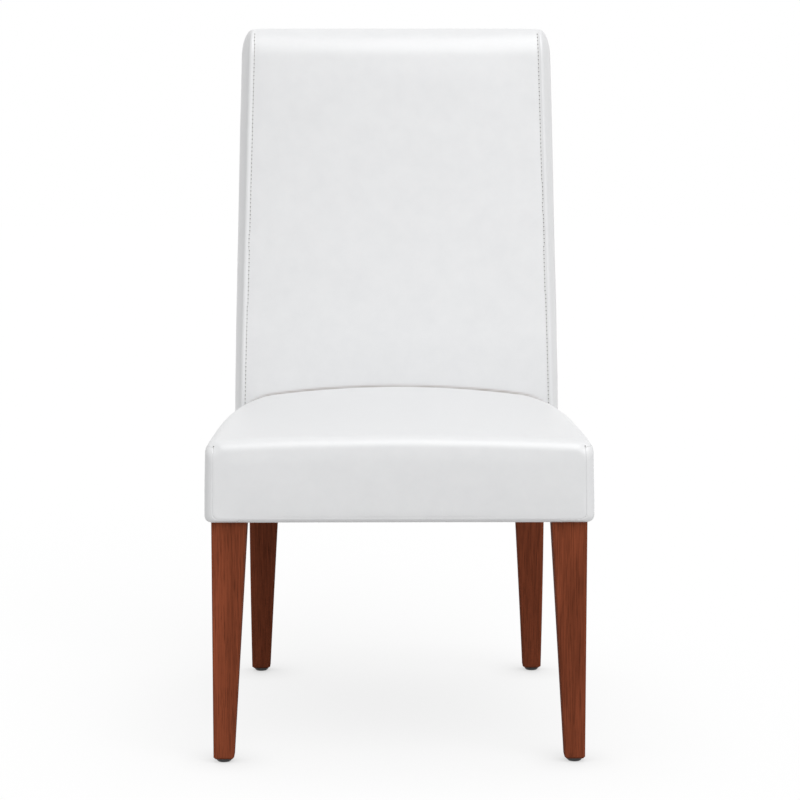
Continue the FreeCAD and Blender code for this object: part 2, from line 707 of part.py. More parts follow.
def dust_cover():
    half = []
    for depth in (DUST_COVER_MARGIN, SEAT_DEPTH, BACK_EDGE - DUST_COVER_MARGIN):
        across = seat_half_width(min(depth, SEAT_DEPTH)) - DUST_COVER_MARGIN
        half.append(Vector(across, depth, SEAT_UNDERSIDE - DUST_COVER))
    other_half = [Vector(-point.x, point.y, point.z) for point in reversed(half)]
    sheet = prism(half + other_half, Vector(0, 0, DUST_COVER))
    spaces = both_sides(front_leg_space(LEG_NOTCH_GAP, 0, FAR))
    return sheet.cut(spaces + both_sides(rear_post_space(LEG_NOTCH_GAP, 0, FAR)))


# Glides and their nails
def glide_centre_front():
    return Vector(LEG_OUTER - LEG_FOOT / 2, LEG_FRONT + LEG_FOOT / 2, 0)


def glide_centre_rear():
    return Vector(POST_OUTER - LEG_FOOT / 2, REAR_FOOT_BACK - LEG_FOOT / 2, 0)


def glide_and_nail(centre):
    up = Vector(0, 0, 1)
    disc = rod(GLIDE_DIAMETER, centre, up, GLIDE_HEIGHT)
    lower_rim = [edge for edge in disc.Edges if edge.BoundBox.ZMax < GLIDE_HEIGHT / 2]
    disc = disc.makeChamfer(GLIDE_EDGE, lower_rim)
    base = centre + up * NAIL_RISE
    nail = rod(NAIL_DIAMETER, base, up, NAIL_LENGTH)
    room = rod(NAIL_DIAMETER + 2 * JOINT_GAP, base, up, NAIL_LENGTH + JOINT_GAP)
    return disc.cut(room), nail, room


# The frame, joined, drilled and mirrored
def build_frame(pieces):
    leg = front_leg()
    post = rear_post()
    rail = side_rail()
    top_rail_bottom = POST_TOP - BACK_RAIL_HEIGHT
    lower_rail_bottom = RAIL_TOP + LOWER_RAIL_RISE
    pieces["back_top_rail"] = back_rail(top_rail_bottom, both_sides(post))
    pieces["back_lower_rail"] = back_rail(lower_rail_bottom, both_sides(post))
    for name, half_width, front in (
        ("front_seat_rail", LEG_INNER, LEG_FRONT),
        ("rear_seat_rail", POST_INNER, POST_FRONT),
    ):
        tenon = cross_rail_tenon(half_width, front, 0.0)
        pieces[name] = cross_rail(half_width, front).fuse(both_sides(tenon))

    rail_corner = Vector(LEG_OUTER - RAIL_THICKNESS, LEG_FRONT + RAIL_THICKNESS, RAIL_MIDDLE)
    reach = 2 * (LEG_TOP - RAIL_THICKNESS) + BLOCK_THICKNESS * math.sqrt(2)
    front_block = block_prism(
        [
            (rail_corner.x, rail_corner.y),
            (rail_corner.x, rail_corner.y + reach),
            (rail_corner.x - reach, rail_corner.y),
        ]
    ).cut([leg, rail])
    rear_corner_x = side_rail_outer(POST_FRONT) - RAIL_THICKNESS
    rear_block = block_prism(
        [
            (rear_corner_x + RAIL_THICKNESS / 2, POST_FRONT),
            (rear_corner_x - REAR_BLOCK_REACH, POST_FRONT),
            (rear_corner_x + RAIL_THICKNESS / 2, POST_FRONT - REAR_BLOCK_REACH - RAIL_THICKNESS / 2),
        ]
    ).cut(rail)

    bolt, washer, nut, bolt_hole = leg_bolt()
    front_glide, front_nail, front_nail_room = glide_and_nail(glide_centre_front())
    rear_glide, rear_nail, rear_nail_room = glide_and_nail(glide_centre_rear())

    leg_mortises = [
        side_rail_tenon(LEG_BACK, -1, JOINT_GAP),
        cross_rail_tenon(LEG_INNER, LEG_FRONT, JOINT_GAP),
    ]
    post_mortises = [
        side_rail_tenon(POST_FRONT, 1, JOINT_GAP),
        cross_rail_tenon(POST_INNER, POST_FRONT, JOINT_GAP),
        back_rail_tenon(lower_rail_bottom, JOINT_GAP),
        back_rail_tenon(top_rail_bottom, JOINT_GAP),
    ]
    rail_tenons = [side_rail_tenon(LEG_BACK, -1, 0.0), side_rail_tenon(POST_FRONT, 1, 0.0)]
    sided = {
        "front_leg": leg.cut(leg_mortises + [bolt_hole, front_nail_room]),
        "rear_post": post.cut(post_mortises + [rear_nail_room]),
        "side_seat_rail": rail.fuse(rail_tenons),
        "corner_block_front": front_block.cut(bolt_hole),
        "corner_block_rear": rear_block,
    }
    for name, shape in sided.items():
        pieces[name + "_left"], pieces[name + "_right"] = both_sides(shape)
    groups = {
        "leg_bolts": [bolt],
        "leg_bolt_washers": [washer],
        "leg_bolt_nuts": [nut],
        "glides": [front_glide, rear_glide],
        "glide_nails": [front_nail, rear_nail],
    }
    for name, shapes in groups.items():
        pieces[name] = Part.makeCompound(shapes + [mirrored(shape) for shape in shapes])


def build_upholstery(pieces):
    lengthwise, crosswise = seat_webbing()
    pieces["seat_webbing_lengthwise"] = Part.makeCompound(lengthwise)
    pieces["seat_webbing_crosswise"] = Part.makeCompound(crosswise)
    pieces["back_webbing"] = Part.makeCompound(back_webbing())
    pieces["backing_board"] = backing_board()
    back_cut = back_space()
    pieces["seat_foam"] = seat_foam()
    pieces["back_foam"] = back_foam()
    top, sides = seat_covers(back_cut)
    pieces["seat_top_cover"] = top
    pieces["seat_side_cover_left"], pieces["seat_side_cover_right"] = sides
    front, rear, sides = back_covers()
    pieces["back_front_cover"] = front
    pieces["back_rear_cover"] = rear
    pieces["back_side_cover_left"], pieces["back_side_cover_right"] = sides
    pieces["dust_cover"] = dust_cover()


def main():
    pieces = {}
    build_frame(pieces)
    build_upholstery(pieces)
    chair = Part.makeCompound(list(pieces.values())).optimalBoundingBox(False)
    to_origin = Vector(-chair.Center.x, -chair.Center.y, -chair.ZMin)
    os.makedirs("parts", exist_ok=True)
    for name, shape in pieces.items():
        shape.translate(to_origin)
        shape.exportStep("parts/" + name + ".step")


main()
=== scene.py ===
import bpy
import math
import numpy as np
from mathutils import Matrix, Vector, noise
from mathutils.bvhtree import BVHTree


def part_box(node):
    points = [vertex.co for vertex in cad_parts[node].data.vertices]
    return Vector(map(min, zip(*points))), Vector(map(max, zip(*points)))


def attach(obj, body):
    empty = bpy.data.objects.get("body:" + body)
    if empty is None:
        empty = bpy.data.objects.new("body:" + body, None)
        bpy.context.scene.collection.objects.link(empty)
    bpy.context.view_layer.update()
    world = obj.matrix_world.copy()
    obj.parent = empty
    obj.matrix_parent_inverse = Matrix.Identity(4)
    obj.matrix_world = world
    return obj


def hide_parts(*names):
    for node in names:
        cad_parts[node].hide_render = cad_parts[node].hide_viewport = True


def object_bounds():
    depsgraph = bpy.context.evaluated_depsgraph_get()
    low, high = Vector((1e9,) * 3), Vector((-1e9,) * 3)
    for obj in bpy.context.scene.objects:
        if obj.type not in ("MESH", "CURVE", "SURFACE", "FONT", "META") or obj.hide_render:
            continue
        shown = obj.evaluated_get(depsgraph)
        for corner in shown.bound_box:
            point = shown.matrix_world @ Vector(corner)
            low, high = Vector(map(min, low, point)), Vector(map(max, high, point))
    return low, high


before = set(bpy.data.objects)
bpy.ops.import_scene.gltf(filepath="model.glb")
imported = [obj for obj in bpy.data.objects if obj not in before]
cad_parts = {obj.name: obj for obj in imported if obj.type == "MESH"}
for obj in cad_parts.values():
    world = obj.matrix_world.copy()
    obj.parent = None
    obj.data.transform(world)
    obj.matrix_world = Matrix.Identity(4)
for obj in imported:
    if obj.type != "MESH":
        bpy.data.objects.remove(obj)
cad_low, cad_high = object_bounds()

# Metres, in the frame of the CAD part: +Z up, the front of the chair towards -Y.
# Depths are measured from the front of the seat.

# Seat: outline, crown (angles in degrees) and edges
SEAT_FRONT = cad_low.y
SEAT_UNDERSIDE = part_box("seat_side_cover_right")[0].z
SEAT_FRONT_WIDTH = 0.525
SEAT_REAR_WIDTH = 0.490
SEAT_DEPTH = 0.455
SEAT_FRONT_HEIGHT = 0.451
SEAT_PEAK_HEIGHT = 0.466
SEAT_PEAK_DEPTH = 0.300
SHOULDER_FRONT_RADIUS = 0.017
SHOULDER_REAR_RADIUS = 0.048
SHOULDER_END_RISE = 0.018
CROWN_FRONT_ANGLE = 3.0
CROWN_REAR_ANGLE = 7.8
FRONT_EDGE_RADIUS = 0.016
REAR_EDGE_RADIUS = 0.010
SIDE_FLARE = 0.0012
HEM_RADIUS = 0.008
SEAM_FROM_CORNER = 0.012
SIDE_SEAM_FRONT_HEIGHT = 0.437
SIDE_SEAM_REAR_HEIGHT = 0.423
COVER_TURN_IN = 0.038
BEND_FADE = 8
REAR_LOOPS = 3
MAIN_LOOPS = 66
CORNER_LOOPS = 5
FRONT_LOOPS = 5

# Back: outline, lean and rounding
OVERALL_HEIGHT = cad_high.z
BACK_DEPTH = 0.076
BACK_FACE_WIDTH = 0.483
BACK_FACE_TOP_WIDTH = 0.450
BACK_FLARE = 0.0078
BACK_TOP_FLARE = 0.0137
BACK_CROWN = 0.009
LEAN_START = 0.420
LEAN_RADIUS = 0.700
FRONT_LEAN = math.radians(10.2)
REAR_LEAN = math.radians(9.4)
RIDGE_WIDTH = 0.008
RIDGE_TOP_WIDTH = 0.003
RIDGE_DEPTH = 0.006
STITCH_DEPTH = 0.0015
SIDE_BULGE = 0.001
REAR_BULGE = 0.0025
REAR_CORNER = 0.014
REAR_SEAM_SHARE = 0.75
TOP_ROUND_HEIGHT = 0.040
TOP_ROUND_FRONT = 0.022
TOP_ROUND_REAR = 0.036
TOP_ROUND_SIDE = 0.0045
TOP_CORNER_DROP = 0.0012
TOP_CORNER_REACH = 0.022
TOP_FULLNESS = 0.0012
FRONT_PANEL_BOTTOM = 0.400
CREASE_LOW = 0.424
CREASE_HIGH = 0.472
EDGE_SHARE = 0.4
RIDGE_PEAK_ACROSS = 0.35
RIDGE_PEAK_DEPTH = 0.15
CROWN_AT_TOP = 0.3
HEM_RINGS = 4
LOW_RINGS = 8
CREASE_RINGS = 18
FACE_RINGS = 72
TOP_RINGS = 12

# Cover: thickness, seams, swelling
COVER = 0.0012
SEAT_SEAM_SINK = 0.00025
BACK_SEAM_SINK = 0.0008
SLACK = 0.001
TOP_HELD = 0.003
SWELL_LIMIT = 0.0022
FOAM_GIVE = 0.0006
# Shade painted into the leather where seat and back meet: how far it reaches and how dark it gets
PAINTED_SHADE_REACH = 0.0018
PAINTED_SHADE_STRENGTH = 0.7
CLOTH = {
    "quality": 5,
    "mass": 0.3,
    "tension_stiffness": 25.0,
    "compression_stiffness": 25.0,
    "shear_stiffness": 10.0,
    "bending_stiffness": 5.0,
    "use_pressure": True,
    "uniform_pressure_force": 4.0,
}
SWELL_FRAMES = 20
SWELL_SMOOTHING = 40
FREEING_STEPS = (0.35, 0.7, 0.9)
HEM_HELD_ROWS = 3
REAR_HELD_RINGS = 4
UNEVENNESS = 0.0005
UNEVENNESS_SCALE = 14.0
PUCKER_DEPTH = 0.0022
PUCKER_REACH = 0.007

# Stitches
STITCH_PITCH = 0.0061
STITCH_LENGTH = 0.0040
THREAD = 0.0010
# Radius of the dark disc at each stitch end, painted shade of a needle hole
HOLE_SHADE_RADIUS = 0.00085
TACK_LENGTH = 0.0018
CREASE_STEPS = 160

# Legs and posts
GLIDE_HEIGHT = 0.005
LEG_FOOT = 0.028
LEG_TOP = 0.048
LEG_EDGE_RADIUS = 0.003
LEG_EDGE_STEPS = 5
LEG_RINGS = 40
POST_RINGS = 30
SHARP_EDGE = math.radians(35)
FOOT_CHAMFER = 0.0026
FRAME_INSET = 0.009
POST_SETBACK = 0.0055
POST_FRONT = 0.4828
POST_REAR = 0.519
POST_TOP = 0.956
POST_TOP_WIDTH = 0.036
REAR_FOOT_KICK = 0.040

# Dust cloth
DUST_COVER_MARGIN = 0.015
DUST_COVER = 0.0008
DUST_SAG = 0.002
LEG_NOTCH_GAP = 0.002
DUST_FRONT_ROWS = 6
DUST_MAIN_ROWS = 40
DUST_REAR_ROWS = 5
DUST_COLUMNS = 40
DUST_EDGE_COLUMNS = 5

# Finishes: pairs run from dark to light, or from smooth to rough
LEATHER = ((0.756, 0.761, 0.770), (0.782, 0.786, 0.793))
# Brownish colour of the painted shade where seat and back meet
LEATHER_PAINTED_SHADE = (0.22, 0.15, 0.105, 1.0)
LEATHER_CLOUDS = 40.0
LEATHER_ROUGHNESS = (0.30, 0.40)
LEATHER_GLOSS = 0.75
LEATHER_PEBBLES = 900.0
LEATHER_PEBBLE_EDGE = 0.25
LEATHER_PORES = 1500.0
LEATHER_GRAIN_DEPTH = 0.00006
STAIN = ((0.107, 0.026, 0.0115), (0.292, 0.073, 0.0325))
LACQUER = 0.06
LACQUER_ROUGHNESS = 0.30
WOOD_STREAKS = 520.0
WOOD_STREAK_STRETCH = 0.022
WOOD_BANDS = 28.0
WOOD_BAND_STRETCH = 0.10
WOOD_PORES = 1100.0
WOOD_PORE_STRETCH = 0.03
WOOD_PORE_RANGE = (0.33, 0.48)
WOOD_PORE_SHADE = 0.62
WOOD_PORE_DEPTH = 0.0001
WOOD_ROUGHNESS = (0.36, 0.52)
NOISE_LOW = 0.3
NOISE_HIGH = 0.7
ROUGHNESS_SPREAD = 0.08
FINE_TEXTURE = 6.0

# Camera, as the photograph was taken
CAMERA_PLACE = (-0.0286, -3.5557, 0.9247)
CAMERA_PITCH = math.radians(7.445)
CAMERA_YAW = 0.0090
CAMERA_LENS = 110.6
CAMERA_SENSOR = 36.0

# Light and floor
WHITE = (1.0, 1.0, 1.0, 1.0)
SKY_LIGHT = 0.58
KEY_LIGHT = 1.75
KEY_FROM = (0.8, -1.7, 2.4)
KEY_SPREAD = math.radians(50)
FLOOR_BOUNCE = (0.6, 0.6, 0.6, 1.0)
FLOOR_SIZE = 12.0
FLOOR_SHADOW = 0.12
FLOOR_CONTACT = 0.20
FLOOR_CONTACT_REACH = 0.40
FOOT_CONTACT = 0.22
FOOT_CONTACT_REACH = 0.06
CONTACT_SAMPLES = 8


def between(start, end, share):
    return start + (end - start) * share


def shares(count):
    return [number / count for number in range(count + 1)]


def spaced(start, end, count):
    return [between(start, end, share) for share in shares(count)]


def placed(across, depth, height):
    return Vector((across, SEAT_FRONT + depth, height))


def arc_points(start, middle, end, count):
    """Points along the arc through three points of a plane, both ends included."""
    (x0, y0), (x1, y1), (x2, y2) = start, middle, end
    cross = 2 * ((x1 - x0) * (y2 - y0) - (x2 - x0) * (y1 - y0))
    first = (x1 - x0) * (x1 + x0) + (y1 - y0) * (y1 + y0)
    second = (x2 - x0) * (x2 + x0) + (y2 - y0) * (y2 + y0)
    cx = (first * (y2 - y0) - second * (y1 - y0)) / cross
    cy = (second * (x1 - x0) - first * (x2 - x0)) / cross
    radius = math.hypot(x0 - cx, y0 - cy)
    begin = math.atan2(y0 - cy, x0 - cx)
    turn = math.atan2(y2 - cy, x2 - cx) - begin
    turn = (turn + math.pi) % (2 * math.pi) - math.pi
    angles = [begin + turn * share for share in shares(count)]
    return [(cx + radius * math.cos(angle), cy + radius * math.sin(angle)) for angle in angles]


# Shape of the seat
def seat_half_width(depth):
    return between(SEAT_FRONT_WIDTH, SEAT_REAR_WIDTH, depth / SEAT_DEPTH) / 2


def seat_crest(depth):
    reach = (depth - SEAT_PEAK_DEPTH) / (SEAT_PEAK_DEPTH - FRONT_EDGE_RADIUS)
    return SEAT_PEAK_HEIGHT - (SEAT_PEAK_HEIGHT - SEAT_FRONT_HEIGHT) * reach**2


class SeatSection:
    """A cut across the seat, from mid-underside round the right side to mid-top."""

    UNDER, TURN_IN, HEM, SIDE, LOWER, UPPER, CROWN = 34, 6, 4, 12, 6, 6, 34
    HEM_START = UNDER + TURN_IN
    SHOULDER = HEM_START + HEM + SIDE
    SEAM = SHOULDER + LOWER
    TOP = SEAM + UPPER + CROWN
    HALVINGS = 40

    def __init__(self, edge_depth):
        share = edge_depth / SEAT_DEPTH
        self.half = seat_half_width(edge_depth)
        self.radius = between(SHOULDER_FRONT_RADIUS, SHOULDER_REAR_RADIUS, share)
        self.radius += SHOULDER_END_RISE * share**5
        self.crown = math.radians(between(CROWN_FRONT_ANGLE, CROWN_REAR_ANGLE, share))
        self.crest = seat_crest(edge_depth)
        centre = self.half - self.radius
        self.side_top = self.crest - self.radius - centre * math.tan(self.crown / 2)
        self.seam_height = between(SIDE_SEAM_FRONT_HEIGHT, SIDE_SEAM_REAR_HEIGHT, share)
        self.corner_inset = FRONT_EDGE_RADIUS
        self.corner_inset = self.seam_inset(self.SEAM)

    def seam_turn(self, inset):
        """Turn round the shoulder at which the side seam keeps its height."""
        drawn_in = min(inset, self.corner_inset)
        rise = self.seam_height - self.side_top + drawn_in
        return math.acos(min(rise / self.radius, 1.0))

    def shoulder_turn(self, row, inset):
        seam_turn = self.seam_turn(inset)
        if row <= self.SEAM:
            return between(math.pi / 2, seam_turn, (row - self.SHOULDER) / self.LOWER)
        return between(seam_turn, self.crown, (row - self.SEAM) / self.UPPER)

    def seam_inset(self, row):
        """How far the front corner seam is drawn in on a row, so that it runs straight up."""
        low, high = 0.0, SEAM_FROM_CORNER
        if row <= self.SHOULDER:
            return high
        for _ in range(self.HALVINGS):
            inset = (low + high) / 2
            turn = self.shoulder_turn(min(row, self.SEAM), inset)
            if inset < SEAM_FROM_CORNER - self.radius * (1 - math.sin(turn)):
                low = inset
            else:
                high = inset
        return inset

    def point(self, row, inset, rise):
        """(across, height) of a row, with the outline drawn in and its underside lifted."""
        half = self.half - inset
        bottom = SEAT_UNDERSIDE + rise
        side_top = self.side_top - inset
        foot = half + SIDE_FLARE
        if row <= self.UNDER:
            return between(0.0, foot - COVER_TURN_IN, row / self.UNDER), bottom
        if row <= self.HEM_START:
            share = (row - self.UNDER) / self.TURN_IN
            return between(foot - COVER_TURN_IN, foot - HEM_RADIUS, share), bottom
        if row <= self.HEM_START + self.HEM:
            turn = math.pi / 2 * (row - self.HEM_START) / self.HEM
            across = foot - HEM_RADIUS * (1 - math.sin(turn))
            return across, bottom + HEM_RADIUS * (1 - math.cos(turn))
        if row <= self.SHOULDER:
            share = (row - self.HEM_START - self.HEM) / self.SIDE
            return between(foot, half, share), between(bottom + HEM_RADIUS, side_top, share)
        if row <= self.SEAM + self.UPPER:
            turn = self.shoulder_turn(row, inset)
            centre = half - self.radius
            return centre + self.radius * math.sin(turn), side_top + self.radius * math.cos(turn)
        share = (row - self.SEAM - self.UPPER) / self.CROWN
        crest = self.crest - inset
        edge = half - self.radius + self.radius * math.sin(self.crown)
        bend = edge / math.sin(self.crown)
        across = edge * (1 - share)
        return across, crest - bend + math.sqrt(bend**2 - across**2)


# Shape of the back
def lean(height, angle):
    rise = max(height - LEAN_START, 0.0)
    bend = min(rise, LEAN_RADIUS * math.sin(angle))
    return LEAN_RADIUS - math.sqrt(LEAN_RADIUS**2 - bend**2) + (rise - bend) * math.tan(angle)


def crown_share(height):
    share = (height - LEAN_START) / (LEAN_RADIUS * math.sin(FRONT_LEAN))
    return (1 - math.cos(math.pi * min(max(share, 0.0), 1.0))) / 2


def back_half_width(height):
    share = (height - SEAT_UNDERSIDE) / (OVERALL_HEIGHT - SEAT_UNDERSIDE)
    return between(BACK_FACE_WIDTH, BACK_FACE_TOP_WIDTH, share) / 2


class BackSection:
    """A level cut of the back, from mid-front round the right side to mid-rear."""

    FRONT, RIDGE, SIDE, CORNER, REAR = 34, 6, 12, 8, 40
    STITCH = FRONT
    SIDE_SEAM = STITCH + RIDGE
    CORNER_START = SIDE_SEAM + SIDE
    REAR_SEAM = CORNER_START + round(REAR_SEAM_SHARE * CORNER)
    CORNER_END = CORNER_START + CORNER

    def __init__(self, height, top_turn=0.0, hem_inset=0.0):
        fall = math.cos(top_turn)
        self.height = height
        self.top_turn = top_turn
        front = SEAT_DEPTH + lean(height, FRONT_LEAN) + TOP_ROUND_FRONT * (1 - fall)
        rear = SEAT_DEPTH + BACK_DEPTH + lean(height, REAR_LEAN) - hem_inset - TOP_ROUND_REAR * (1 - fall)
        face = back_half_width(height) - hem_inset - TOP_ROUND_SIDE * (1 - fall)
        self.face = face
        flare = face + between(BACK_FLARE, BACK_TOP_FLARE, height / OVERALL_HEIGHT) * fall
        ridge = min(RIDGE_DEPTH, EDGE_SHARE * (rear - front))
        corner = min(REAR_CORNER, EDGE_SHARE * (rear - front))
        ridge_width = max(RIDGE_WIDTH - TOP_ROUND_SIDE * (1 - fall), RIDGE_TOP_WIDTH)
        stitch = (face - ridge_width, front + STITCH_DEPTH)
        crown = max(BACK_CROWN * crown_share(height), STITCH_DEPTH) * max(fall, CROWN_AT_TOP)
        crown *= 2 * face / BACK_FACE_WIDTH
        mirrored = (-stitch[0], stitch[1])
        front_arc = arc_points(mirrored, (0.0, stitch[1] - crown), stitch, 2 * self.FRONT)[self.FRONT :]
        seam = (face, front + ridge)
        ridge_top = (face - RIDGE_PEAK_ACROSS * ridge_width, front + RIDGE_PEAK_DEPTH * ridge)
        corner_start = (flare, rear - corner)
        side_middle = ((face + flare) / 2 + SIDE_BULGE, (seam[1] + corner_start[1]) / 2)
        bend = corner * (1 - math.sqrt(0.5))
        corner_end = (flare - corner, rear)
        opposite = (-corner_end[0], rear)
        rear_middle = (0.0, rear + REAR_BULGE)
        rear_arc = arc_points(corner_end, rear_middle, opposite, 2 * self.REAR)[: self.REAR + 1]
        self.points = front_arc
        self.points += arc_points(stitch, ridge_top, seam, self.RIDGE)[1:]
        self.points += arc_points(seam, side_middle, corner_start, self.SIDE)[1:]
        self.points += arc_points(corner_start, (flare - bend, rear - bend), corner_end, self.CORNER)[1:]
        self.points += rear_arc[1:]

    def height_at(self, across):
        """Height of the cut: full along the top edge and drawn down towards its corners."""
        rounding = math.sin(self.top_turn) ** 4
        corner = max(abs(across) - self.face + TOP_CORNER_REACH, 0.0) / TOP_CORNER_REACH
        return self.height + rounding * (TOP_FULLNESS - TOP_CORNER_DROP * corner**2)

    def front_at(self, across):
        """Depth of the front of the back at a place across it."""
        rows = self.points[: self.SIDE_SEAM + 1]
        return float(np.interp(abs(across), [x for x, _ in rows], [depth for _, depth in rows]))


class Shell:
    """Rings of points skinned one after another, with a patch over the last ring."""

    def __init__(self, rings):
        self.half = len(rings[0]) - 1
        self.size = 2 * self.half
        self.rings = len(rings)
        self.points = []
        for ring in rings:
            left = [Vector((-point.x, point.y, point.z)) for point in reversed(ring[1:-1])]
            self.points += ring + left
        self.faces = []
        self.panels = []

    def index(self, ring, row, side=1):
        return ring * self.size + (row if side > 0 else -row) % self.size

    def both_sides(self, ring, rows):
        return {self.index(ring, row, side) for row in rows for side in (1, -1)}

    def skin(self, panel_of):
        """Faces between rings; panel_of(ring, row, side) names the panel, or is None where it is open."""
        for ring in range(self.rings - 1):
            for row in range(self.half):
                for side in (1, -1):
                    panel = panel_of(ring, row, side)
                    corners = [(ring, row), (ring, row + 1), (ring + 1, row + 1), (ring + 1, row)]
                    self.add([self.index(*corner, side) for corner in corners[::side]], panel)

    def add(self, face, panel):
        if panel:
            self.faces.append(face)
            self.panels.append(panel)

    def edge(self, rows, side):
        return [self.index(self.rings - 1, row, side) for row in rows]

    def patch(self, panel, low_corner, high_corner):
        """Fills the last ring from its four edges, which meet at two rows on either side."""
        low = self.edge(range(low_corner, 0, -1), -1) + self.edge(range(low_corner + 1), 1)
        high = self.edge(range(high_corner, self.half), -1)
        high += self.edge(range(self.half, high_corner - 1, -1), 1)
        left, right = (self.edge(range(low_corner, high_corner + 1), side) for side in (-1, 1))
        grid = [low]
        for step in range(1, len(left) - 1):
            line = [left[step]]
            for place in range(1, len(low) - 1):
                line.append(len(self.points))
                self.points.append(self.blend(low, high, left, right, place, step))
            grid.append(line + [right[step]])
        grid.append(high)
        for under, over in zip(grid, grid[1:]):
            for place in range(len(low) - 1):
                self.add([under[place], under[place + 1], over[place + 1], over[place]], panel)

    def blend(self, low, high, left, right, place, step):
        point = self.points
        share = place / (len(low) - 1)
        share_up = step / (len(left) - 1)
        across = between(point[left[step]], point[right[step]], share)
        upward = between(point[low[place]], point[high[place]], share_up)
        lower = between(point[low[0]], point[low[-1]], share)
        upper = between(point[high[0]], point[high[-1]], share)
        return across + upward - between(lower, upper, share_up)


# Meshes and pieces
def add_object(name, data):
    made = bpy.data.objects.new(name, data)
    bpy.context.scene.collection.objects.link(made)
    return made


def new_object(name, points, faces):
    mesh = bpy.data.meshes.new(name)
    mesh.from_pydata([tuple(point) for point in points], [], faces)
    mesh.validate()
    mesh.shade_smooth()
    return add_object(name, mesh)


def only_used(points, faces):
    """The points that the faces use, and the faces with their corners counted anew."""
    used = sorted({corner for face in faces for corner in face})
    place = {old: new for new, old in enumerate(used)}
    return [points[old] for old in used], [[place[corner] for corner in face] for face in faces]


def tube_faces(first, rings, size):
    """Faces of a closed tube: its sides ring by ring, then both ends."""
    faces = []
    for ring in range(rings - 1):
        here = first + ring * size
        there = here + size
        for number in range(size):
            following = (number + 1) % size
            faces.append([here + number, here + following, there + following, there + number])
    last = first + (rings - 1) * size
    faces.append(list(range(first, first + size))[::-1])
    faces.append(list(range(last, last + size)))
    return faces


def thicken(piece, thickness):
    thick = piece.modifiers.new("thickness", "SOLIDIFY")
    thick.thickness = thickness
    thick.offset = -1.0


def coordinates(mesh, kind="co"):
    flat = np.empty(len(mesh.vertices) * 3, np.float32)
    mesh.vertices.foreach_get(kind, flat)
    return flat.reshape(-1, 3).astype(float)


def normals(mesh):
    return coordinates(mesh, "normal")


def set_coordinates(mesh, points):
    mesh.vertices.foreach_set("co", points.astype(np.float32).ravel())
    mesh.update()


def mark(piece, name, kind, field, values):
    made = piece.data.attributes.new(name, kind, "POINT")
    made.data.foreach_set(field, values.astype(np.float32).ravel())


def edge_pairs(shell):
    edges = set()
    for face in shell.faces:
        for start, end in zip(face, face[1:] + face[:1]):
            edges.add((min(start, end), max(start, end)))
    return np.array(sorted(edges))


def smooth_steps(shell, held, pairs):
    """How free each point is: 0 on what is held, rising to 1 over a few rows of faces."""
    free = np.ones(len(shell.points))
    free[list(held)] = 0.0
    for limit in FREEING_STEPS:
        lowest = np.full(len(free), 1.0)
        np.minimum.at(lowest, pairs[:, 0], free[pairs[:, 1]])
        np.minimum.at(lowest, pairs[:, 1], free[pairs[:, 0]])
        free = np.where((lowest < limit) & (free == 1.0), limit, free)
    return free


def evened(heights, pairs, free, rounds):
    """Averages neighbouring points, so that no dent or lump stays; held points stay where they are."""
    count = np.bincount(pairs.ravel(), minlength=len(heights))
    for _ in range(rounds):
        total = np.bincount(pairs[:, 0], heights[pairs[:, 1]], len(heights))
        total += np.bincount(pairs[:, 1], heights[pairs[:, 0]], len(heights))
        heights = np.where(free > 0.0, (heights + total / np.maximum(count, 1)) / 2, heights)
    return heights


def swollen(body, held):
    """Where a cloth simulation with pressure, held along the seams, moves the cover's points."""
    group = body.vertex_groups.new(name="held")
    group.add(sorted(held), 1.0, "REPLACE")
    cloth = body.modifiers.new("swell", "CLOTH")
    for name, value in CLOTH.items():
        setattr(cloth.settings, name, value)
    cloth.settings.vertex_group_mass = group.name
    cloth.settings.effector_weights.gravity = 0.0
    cloth.collision_settings.use_collision = False
    cloth.point_cache.frame_end = SWELL_FRAMES
    for number in range(1, SWELL_FRAMES + 1):
        bpy.context.scene.frame_set(number)
    shown = body.evaluated_get(bpy.context.evaluated_depsgraph_get())
    points = coordinates(shown.data)
    body.modifiers.remove(cloth)
    body.vertex_groups.remove(group)
    bpy.context.scene.frame_set(1)
    return points


def upholster(name, shell, seams, held, seam_sink):
    """The whole cover as one mesh: drawn in, swollen over its firm foam, then sunk along its seams."""
    body = new_object(name, shell.points, shell.faces)
    pairs = edge_pairs(shell)
    free = smooth_steps(shell, held, pairs)
    drawn = coordinates(body.data)
    outward = normals(body.data)
    set_coordinates(body.data, drawn - outward * SLACK * free[:, None])
    heights = np.einsum("ij,ij->i", swollen(body, held) - drawn, outward)
    heights = np.maximum(SWELL_LIMIT * np.tanh(heights / SWELL_LIMIT), -FOAM_GIVE)
    heights = evened(heights, pairs, free, SWELL_SMOOTHING)
    uneven = np.array([noise.noise(Vector(point) * UNEVENNESS_SCALE) for point in drawn])
    heights += uneven * UNEVENNESS * free
    heights[list(seams)] -= seam_sink
    set_coordinates(body.data, drawn + outward * heights[:, None])
    return body


def paint_crease_shade(piece):
    """Paints shade on a panel: how far each point is darkened, falling off with its distance from the
    line where seat and back meet.
    """
    points = coordinates(piece.data)
    nearest = np.full(len(points), np.inf)
    for place in seat_crease():
        nearest = np.minimum(nearest, np.linalg.norm(points - np.array(place), axis=1))
    shade = PAINTED_SHADE_STRENGTH * np.exp(-((nearest / PAINTED_SHADE_REACH) ** 2))
    mark(piece, "painted_crease_shade", "FLOAT", "value", shade)


